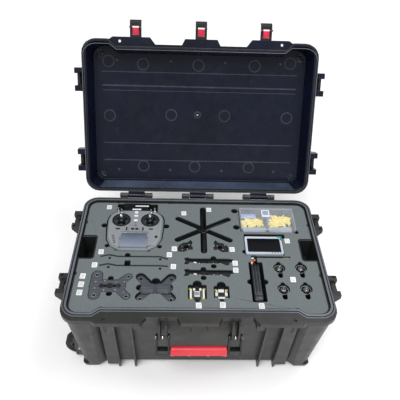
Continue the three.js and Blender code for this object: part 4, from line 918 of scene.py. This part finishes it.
def bottom_plate_fittings():
    """Dark discs as the painted shade in the screw holes, the two stacked squares and two steel eyes on the lower
    level of the plate.
    """
    low, high = span("frame_bottom_plate")
    draft = Draft().use(MOULDING)
    # dark discs on the plate: painted shade for screw holes, which are not cut
    for x in (-146, -122, -105, -79):
        for y in (-100, -124):
            draft.disc(x, y, 2, high.z - 0.4, high.z + 0.3)
    for x in (-133, -92):
        draft.use(CARBON).slab(round_rect(x, -112, 29, 27, 3, 3), high.z - 0.3, high.z + 1.1, 0.3)
    draft.use(STEEL)
    for x, y in ((-150, -141), (-71, -144)):
        draft.ring(x, y, 5.6, 4.1, low.z + 3.6, low.z + 4.6)
    draft.piece("bottom_plate_fittings", "frame_bottom_plate")


def clip(node):
    """A white clip and its wire at the left end of a short plate, and three screws along it."""
    low, high = span(node)
    x, y, z = low.x + 22, low.y + 9, high.z
    draft = Draft().use(WHITE_PART)
    draft.wire([(x - 10, y - 2, z + 0.9), (x - 3, y + 1, z + 1.1), (x + 4, y + 2, z + 1.4)], 1.4, 8)
    wedge = [(0, -4), (8, -6), (12, 0), (9, 5), (2, 5)]
    draft.slab([(x + u, y + v) for u, v in wedge], z - 0.3, z + 3, 0.8)
    for dx in (40, 78, 96):
        screw(draft, low.x + dx, low.y + 12, z, 1.6)
    draft.piece(node + "_clip", node)


# ---- electronics
def board_base(draft, node):
    """A board with a ringed hole at each corner; gives its middle, its width and its face's height."""
    low, high = span(node)
    centre = middle(node)
    width, depth = high.x - low.x, high.y - low.y
    draft.use(PCB).slab(round_rect(centre.x, centre.y, width, depth, 4, 4), low.z, low.z + 2, 0.2)
    for sx in (-1, 1):
        for sy in (-1, 1):
            x, y = centre.x + sx * (width / 2 - 4), centre.y + sy * (depth / 2 - 4)
            draft.use(YELLOW_PART).ring(x, y, 3.6, 2, low.z - 0.05, low.z + 2.6, 20)
            # a dark disc in each ringed hole: painted shade in the hole
            draft.use(MOULDING).disc(x, y, 2.2, low.z + 0.2, low.z + 2.1)
    return centre.x, centre.y, width, low.z + 2


def soldered(draft, x, y, top, parts):
    """Parts on a board: finish, distance either side of x, half width, two ends in y, height and easing."""
    for finish, away, half, y0, y1, tall, ease in parts:
        draft.use(finish)
        for side in (-1, 1) if away else (0,):
            spot = x + side * away
            draft.block(spot - half, spot + half, y + y0, y + y1, top - 0.3, top + tall, ease)


def boards():
    draft = Draft()
    x, y, width, top = board_base(draft, "speed_controller")
    soldered(draft, x, y, top, (
        (WHITE_PART, width / 2 - 5.5, 2.6, -14, 15, 3.6, 0.6),
        (WHITE_PART, 8, 3, 11, 18, 3.4, 0.5),
        (WHITE_PART, 0, 7, -8, 9, 2.4, 0.5),
        (YELLOW_PART, 15.5, 3.2, -18.6, -13, 4, 0.6),
        (CHIP, 0, 9, 17, 20.6, 4.6, 0.4),
        (CHIP, 0, 6, -19.5, -13.5, 4.2, 0.5),
    ))
    for i in range(4):
        draft.block(x - 5.4 + 3 * i, x - 3.6 + 3 * i, y - 5, y + 6, top + 2.2, top + 2.7, 0.15)
    draft.use(STEEL)
    for i in range(8):
        for pad in (x - 10.5, x + 10.5):
            draft.block(pad - 0.9, pad + 0.9, y - 12 + 3 * i, y - 10.4 + 3 * i, top - 0.2, top + 0.7, 0.15)
    draft.stand_in("speed_controller")

    draft = Draft()
    x, y, _, top = board_base(draft, "flight_controller")
    soldered(draft, x, y, top, (
        (WHITE_PART, 12.5, 3.4, -6, 5, 3.6, 0.5),
        (WHITE_PART, 12, 2.2, 8, 12, 2.6, 0.4),
        (WHITE_PART, 0, 9, -15, -9, 3.2, 0.5),
        (CHIP, 0, 6.5, -6, 4.5, 1.6, 0.3),
        (CHIP, 0, 5, -18.6, -15.4, 4, 0.4),
        (CHIP, 0, 8, 15.5, 18.5, 4, 0.4),
    ))
    draft.use(WHITE_PART).block(x - 8, x + 7, y + 6, y + 15, top - 0.3, top + 3, 0.5)
    draft.use(STEEL)
    for i in range(5):
        draft.block(x - 8 + 3.6 * i, x - 6.4 + 3.6 * i, y - 8.6, y - 6.6, top - 0.2, top + 0.8, 0.15)
    draft.stand_in("flight_controller")


def battery():
    low, high = span("battery")
    y1 = high.y - 26
    x, z = (low.x + high.x) / 2, (low.z + high.z) / 2
    wide, tall = high.x - low.x, high.z - low.z
    draft = Draft().use(WRAP)
    stations = [(low.y, 0.86), (low.y + 1.5, 0.95), (low.y + 4, 1), (low.y + 30, 0.985), (low.y + 60, 1),
                (low.y + 90, 0.985), (y1 - 4, 1), (y1 - 1.5, 0.95), (y1, 0.86)]
    outline = round_rect(0, 0, wide, tall, 4, 4)
    draft.skin([[(x + u * s, y, z + v * s) for u, v in outline] for y, s in stations])
    draft.use(WRAP_PALE)
    for offset in (-7.4, 0.4, 7.6):
        draft.block(x + offset - 0.9, x + offset + 0.9, low.y + 5, y1 - 5, high.z - 0.6, high.z + 0.25, 0.3)
    draft.use(MOULDING)
    for y in (y1 - 14, low.y + 10):
        draft.block(x - 11, x + 11, y, y + 5, high.z - 1, high.z + 0.5, 0.3)
    draft.use(RED_LEAD)
    draft.wire([(x - 4, y1 - 3, z + 4), (x - 6, y1 + 6, z + 8), (x - 5, y1 + 13, z + 10)], 2.4)
    draft.block(x - 9, x + 1, y1 + 11, y1 + 20, high.z - 14, high.z - 3, 1)
    draft.use(MOULDING)
    draft.wire([(x + 2, y1 - 3, z + 4), (x + 4, y1 + 6, z + 7), (x + 2, y1 + 14, z + 8)], 2.4)
    draft.use(WHITE_PART).block(x - 7, x, y1 + 19, y1 + 25.6, high.z - 12, high.z - 4, 0.8)
    draft.block(x - 9, x - 5, y1 + 3, y1 + 9, high.z - 8, high.z - 2, 0.6)
    draft.use(BRASS).block(x + 1, x + 4, y1 + 18, y1 + 24, high.z - 12, high.z - 8, 0.6)
    draft.stand_in("battery")


def antenna():
    low, high = span("antenna")
    y, z = middle("antenna").y, middle("antenna").z
    draft = Draft().use(MOULDING)
    draft.wire([(low.x, y, z), (low.x + 30, y + 0.2, z), (high.x - 26, y, z), (high.x - 18, y, z)], 1.5)
    draft.use(BRASS).at(move(high.x - 16, y, z) @ spin(90, "Y"))
    profile = [(0, 0), (2.6, 0), (3, 0.4)]
    for i in range(6):
        profile += [(3, 1 + 1.6 * i), (2.6, 1.4 + 1.6 * i), (2.6, 1.9 + 1.6 * i)]
    draft.turned([*profile, (3, 11), (2.4, 11.4), (2.4, 16), (1.4, 16), (1.4, 14), (0, 14)], 20)
    draft.stand_in("antenna")


def motor_base(node, place):
    """The fixed mount with its copper windings, and three leads that rise from its foot."""
    draft = Draft().use(MOULDING).at(place)
    draft.turned([(0, 0), (13, 0), (14, 1), (14, 3), (12.6, 4), (0, 4)], 36)
    draft.use(STEEL).turned([(0, 4), (4.6, 4), (4.6, 19.5), (0, 19.5)], 24)
    for screw_x, screw_y in circle(0, 0, 9.5, 8)[1::2]:
        draft.disc(screw_x, screw_y, 1.6, 3.8, 4.5, 0.1)
    draft.use(MOULDING).block(-4.4, 4.4, -26, -12, 0.3, 4, 0.8)
    for side, finish in ((-2.6, MOULDING), (0, COPPER), (2.6, MOULDING)):
        draft.use(finish)
        draft.wire([(side, -11, 2.6), (side, -19, 3.2), (side, -24, 8), (side, -23, 15)], 1.1, 8)
    draft.use(COPPER)
    for i in range(12):
        draft.at(place @ spin(30 * i)).block(6, 12.2, -1.9, 1.9, 4.8, 19, 1.2)
    draft.stand_in(node)


def motor_bell(node):
    """The turning can and its threaded shaft."""
    x, y, top = middle(node).x, middle(node).y, span(node)[1].z

    def on_collar(p):
        return p.z > top - 17.4 and math.hypot(p.x - x, p.y - y) < 4.2

    skin_of(node, BELL, 0.4, paint=[(SILVER, lambda p: p.z > top - 15.9), (STEEL, on_collar)])
    draft = Draft().use(SILVER).at(move(x, y, top))
    thread = [(0, -12)]
    for i in range(7):
        thread += [(2.55, -12 + 1.6 * i), (2.2, -11.4 + 1.6 * i), (2.2, -10.8 + 1.6 * i)]
    draft.turned([*thread, (2, -0.3), (1.4, 0), (0, 0)], 20)
    draft.use(STEEL).ring(0, 0, 6.6, 5.4, -15.2, -13.6)
    # a polished steel ring round the bell's top rim: painted highlight for the glints on the bell
    draft.ring(0, 0, 13.8, 12.6, -16, -15.6)
    draft.piece(f"{node}_thread", node)


def motors():
    for name in ("rear_left", "rear_right", "front_left", "front_right"):
        base, bell = f"motor_base_{name}", f"motor_bell_{name}"
        motor_base(base, move(middle(bell).x, middle(bell).y, span(base)[0].z))
        motor_bell(bell)


def monitor():
    low, high = span("monitor")
    right, back, top = high.x - 1, high.y - 2, high.z - 1
    x, y = (low.x + right) / 2, (low.y + back) / 2
    wide, deep = right - low.x, back - low.y
    draft = Draft().use(TEAL).slab(round_rect(x, y, wide - 0.6, deep - 0.6, 6, 5), low.z, top - 4, 1.6)
    draft.use(MONITOR)
    outer, inner = round_rect(x, y, wide, deep, 5, 5), round_rect(x, y, wide - 13, deep - 15, 2.4, 5)
    surround = [(outer, -8, 1.2), (outer, -6.5, 0), (outer, -1, 0), (outer, 0, 0.8), (inner, 0, -0.8),
                (inner, -1.4, 0), (inner, -8, 0)]
    rings = [[(u, v, top + z) for u, v in inset(points, ease)] for points, z, ease in surround]
    draft.skin(rings, closed=True)
    draft.use(DISPLAY).slab(round_rect(x, y, wide - 12, deep - 14, 2, 3), top - 4, top - 1.3)
    draft.use(TEAL)
    corner = [(0, 0), (-15, 0), (-11, -4), (-4, -4), (-4, -13), (0, -17)]
    draft.slab([(right + u, back + v) for u, v in corner][::-1], top - 5, top + 0.9, 0.5)
    draft.block(right - 10, right + 0.8, back - 7, back + 1.7, low.z + 3, top - 1.5, 1.2)
    draft.use(RED_LEAD).block(low.x + 10, low.x + 30, back - 1.6, back + 1.6, top - 9, top - 3, 0.8)
    draft.use(MOULDING)
    for i in range(4):
        draft.slab(round_rect(x + 20 + 8 * i, low.y + 3.6, 4.6, 2.2, 1, 3), top - 0.3, top + 0.35)
    draft.stand_in("monitor")


# ---- parts box
def printed_part(draft, draw, x, y, z):
    """One small printed mount: a foot, a post with a collar, or a clip."""
    heading, tilt = draw.uniform(0, 6.28), draw.uniform(-0.5, 0.5)
    draft.at(move(x, y, z) @ Matrix.Rotation(heading, 4, "Z") @ Matrix.Rotation(tilt, 4, "X"))
    kind = draw.randrange(3)
    half = draw.uniform(8, 15) / 2
    if kind == 0:
        draft.block(-half, half, -4, 4, -1.6, 1.6, 0.8)
        draft.turned([(0, -1), (3.4, -1), (3.4, 5), (2.4, 6), (0, 6)], 16)
    elif kind == 1:
        draft.ring(0, 0, 6, 3.4, -2.4, 2.4, 20)
        draft.block(4.4, 2 * half, -2, 2, -2, 2, 0.6)
    else:
        draft.block(-half, half, -5, -1.8, -2.6, 2.6, 0.7)
        draft.block(-half, half, 1.8, 5, -2.6, 2.6, 0.7)
        draft.block(-half, -half + 3, -4, 4, -2.2, 2.2, 0.7)


def printed_parts(draw):
    """Four heaps of printed parts, kept clear of the box's walls and divider."""
    low, high = span("parts_box")
    divider = (low.x + high.x) / 2
    draft = Draft().use(YELLOW)
    heaps = ((22, 50, 15, 14, 34), (50, 52, 18, 12, 30), (116, 60, 36, 20, 90), (92, 50, 20, 12, 28))
    for across, along, wide, deep, count in heaps:
        for _ in range(count):
            u, v = draw.uniform(-1, 1), draw.uniform(-1, 1)
            x = min(max(low.x + across + u * wide, low.x + 12), high.x - 12)
            if abs(x - divider) < 11:
                x += 22 if x > divider else -22
            z = low.z + 7 + (1 - (u * u + v * v) / 2) * draw.uniform(6, 15)
            printed_part(draft, draw, x, low.y + along + v * deep, z)
    draft.piece("printed_parts", "parts_box")


def small_bags(draw):
    low = span("parts_box")[0]
    bags = Draft()
    places = ((BLUE_BAG, 8, 52, 68, 88, 16), (BLUE_BAG, 84, 100, 50, 84, 16), (GREY_BAG, 9, 76, 7, 33, 14),
              (GREY_BAG, 86, 153, 7, 34, 15))
    for finish, x0, x1, y0, y1, z in places:
        bag(bags.use(finish), draw, low.x + x0, low.x + x1, low.y + y0, low.y + y1, low.z + z)
    bags.piece("small_bags", "parts_box")


def lid_trim():
    """The sticker, the two side ribs and the clasp of the parts box's lid."""
    low, high = span("parts_box_lid")
    x, top = (low.x + high.x) / 2, high.z
    trim = Draft().use(WHITE_PART)
    trim.slab(round_rect(x - 3, low.y + 70, 24, 30, 2, 3), top - 0.3, top + 0.4)
    trim.use(BLUE_BAG).slab(round_rect(x - 3, low.y + 72, 17, 18, 2, 3), top + 0.2, top + 0.6)
    trim.use(CLEAR)
    for rib in (x - 78, x + 78):
        trim.block(rib - 1.2, rib + 1.2, low.y + 4, high.y - 6, top - 0.4, top + 1, 0.4)
    trim.block(x - 14, x + 14, low.y + 0.4, low.y + 7, top - 1, top + 1.2, 0.6)
    trim.piece("parts_box_clasp", "parts_box_lid")


def parts_box():
    skin_of("parts_box", CLEAR, 0.6)
    skin_of("parts_box_lid", CLEAR, 0.6)
    draw = random.Random(11)
    printed_parts(draw)
    small_bags(draw)
    lid_trim()


def bag(draft, draw, x0, x1, y0, y1, z):
    """A small creased plastic bag, lying flat."""
    columns, rows = 9, 6
    depths = [y0 + (y1 - y0) * j / rows for j in range(rows + 1)]
    rings = []
    for i in range(columns + 1):
        x = x0 + (x1 - x0) * i / columns
        puff = 0.6 + 2.6 * math.sin(math.pi * i / columns) + draw.uniform(0, 1.1)
        upper = [(x, y, z + puff * math.sin(math.pi * j / rows) + draw.uniform(0, 0.7))
                 for j, y in enumerate(depths)]
        rings.append(upper + [(x, y, z - 1.2) for y in depths[::-1]])
    draft.skin(rings)


# ---- stage
def camera():
    """The viewpoint: in front of the case and above its rim, looking down into the tray."""
    pitch, yaw, roll = (math.radians(a) for a in (41.75, 2.69, 2.685))
    forward = Vector((math.sin(yaw) * math.cos(pitch), math.cos(yaw) * math.cos(pitch), -math.sin(pitch)))
    level = Vector((math.cos(yaw), -math.sin(yaw), 0))
    lift = level.cross(forward)
    right = math.cos(roll) * level + math.sin(roll) * lift
    up = math.cos(roll) * lift - math.sin(roll) * level
    data = bpy.data.cameras.new("camera")
    data.lens = 44.1
    data.sensor_width = 36
    obj = bpy.data.objects.new("camera", data)
    bpy.context.scene.collection.objects.link(obj)
    aim = Matrix((right, up, -forward)).transposed().to_4x4()
    obj.matrix_world = move(-0.0456, -0.8976, 1.2440) @ aim
    bpy.context.scene.camera = obj


def lamp(name, place, target, size, watts):
    data = bpy.data.lights.new(name, "AREA")
    data.shape = "RECTANGLE"
    data.size, data.size_y = size
    data.energy = watts
    obj = bpy.data.objects.new(name, data)
    bpy.context.scene.collection.objects.link(obj)
    obj.location = place
    obj.rotation_euler = (Vector(target) - Vector(place)).to_track_quat("-Z", "Y").to_euler()


def studio():
    """A pale floor, a pale surround and three soft lights."""
    sun = bpy.data.lights.new("key", "SUN")
    sun.energy = 1.85
    sun.angle = math.radians(35)
    key = bpy.data.objects.new("key", sun)
    key.rotation_euler = Vector((0.35, 0.75, -1.5)).to_track_quat("-Z", "Y").to_euler()
    bpy.context.scene.collection.objects.link(key)
    lamp("top", (0.75, 0.15, 1.9), (0.1, 0.05, 0.2), (1.4, 1.0), 13)
    lamp("front", (0.5, -2.4, 0.35), (0, 0, 0.15), (1.2, 0.5), 4)
    world = bpy.data.worlds.new("surround")
    world.use_nodes = True
    world.node_tree.nodes["Background"].inputs[0].default_value = (1, 1, 1, 1)
    world.node_tree.nodes["Background"].inputs[1].default_value = 0.52
    bpy.context.scene.world = world
    bpy.context.scene.view_settings.view_transform = "Standard"
    floor_look = Look("floor", slot="shell", Roughness=0.9)
    floor_look.colour(floor_look.blend(floor_look.noise(3), srgb("fdfdfd"), srgb("ffffff")))
    mesh = bpy.data.meshes.new("floor")
    corners = [(25 * u, 25 * v, 0) for u, v in ((-1, -1), (1, -1), (1, 1), (-1, 1))]
    mesh.from_pydata(corners, [], [(0, 1, 2, 3)])
    floor = bpy.data.objects.new("floor", mesh)
    floor.location.z = cad_box[0].z - 0.001
    mesh.materials.append(floor_look.material)
    bpy.context.scene.collection.objects.link(floor)


camera()
studio()
case_shells()
lid_marks()
latches()
front_handle()
wheels()
pull_handle()
foam()
labels()
radio()
sticks_and_toggles()
propellers()
frame_plates()
boards()
battery()
antenna()
motors()
monitor()
parts_box()
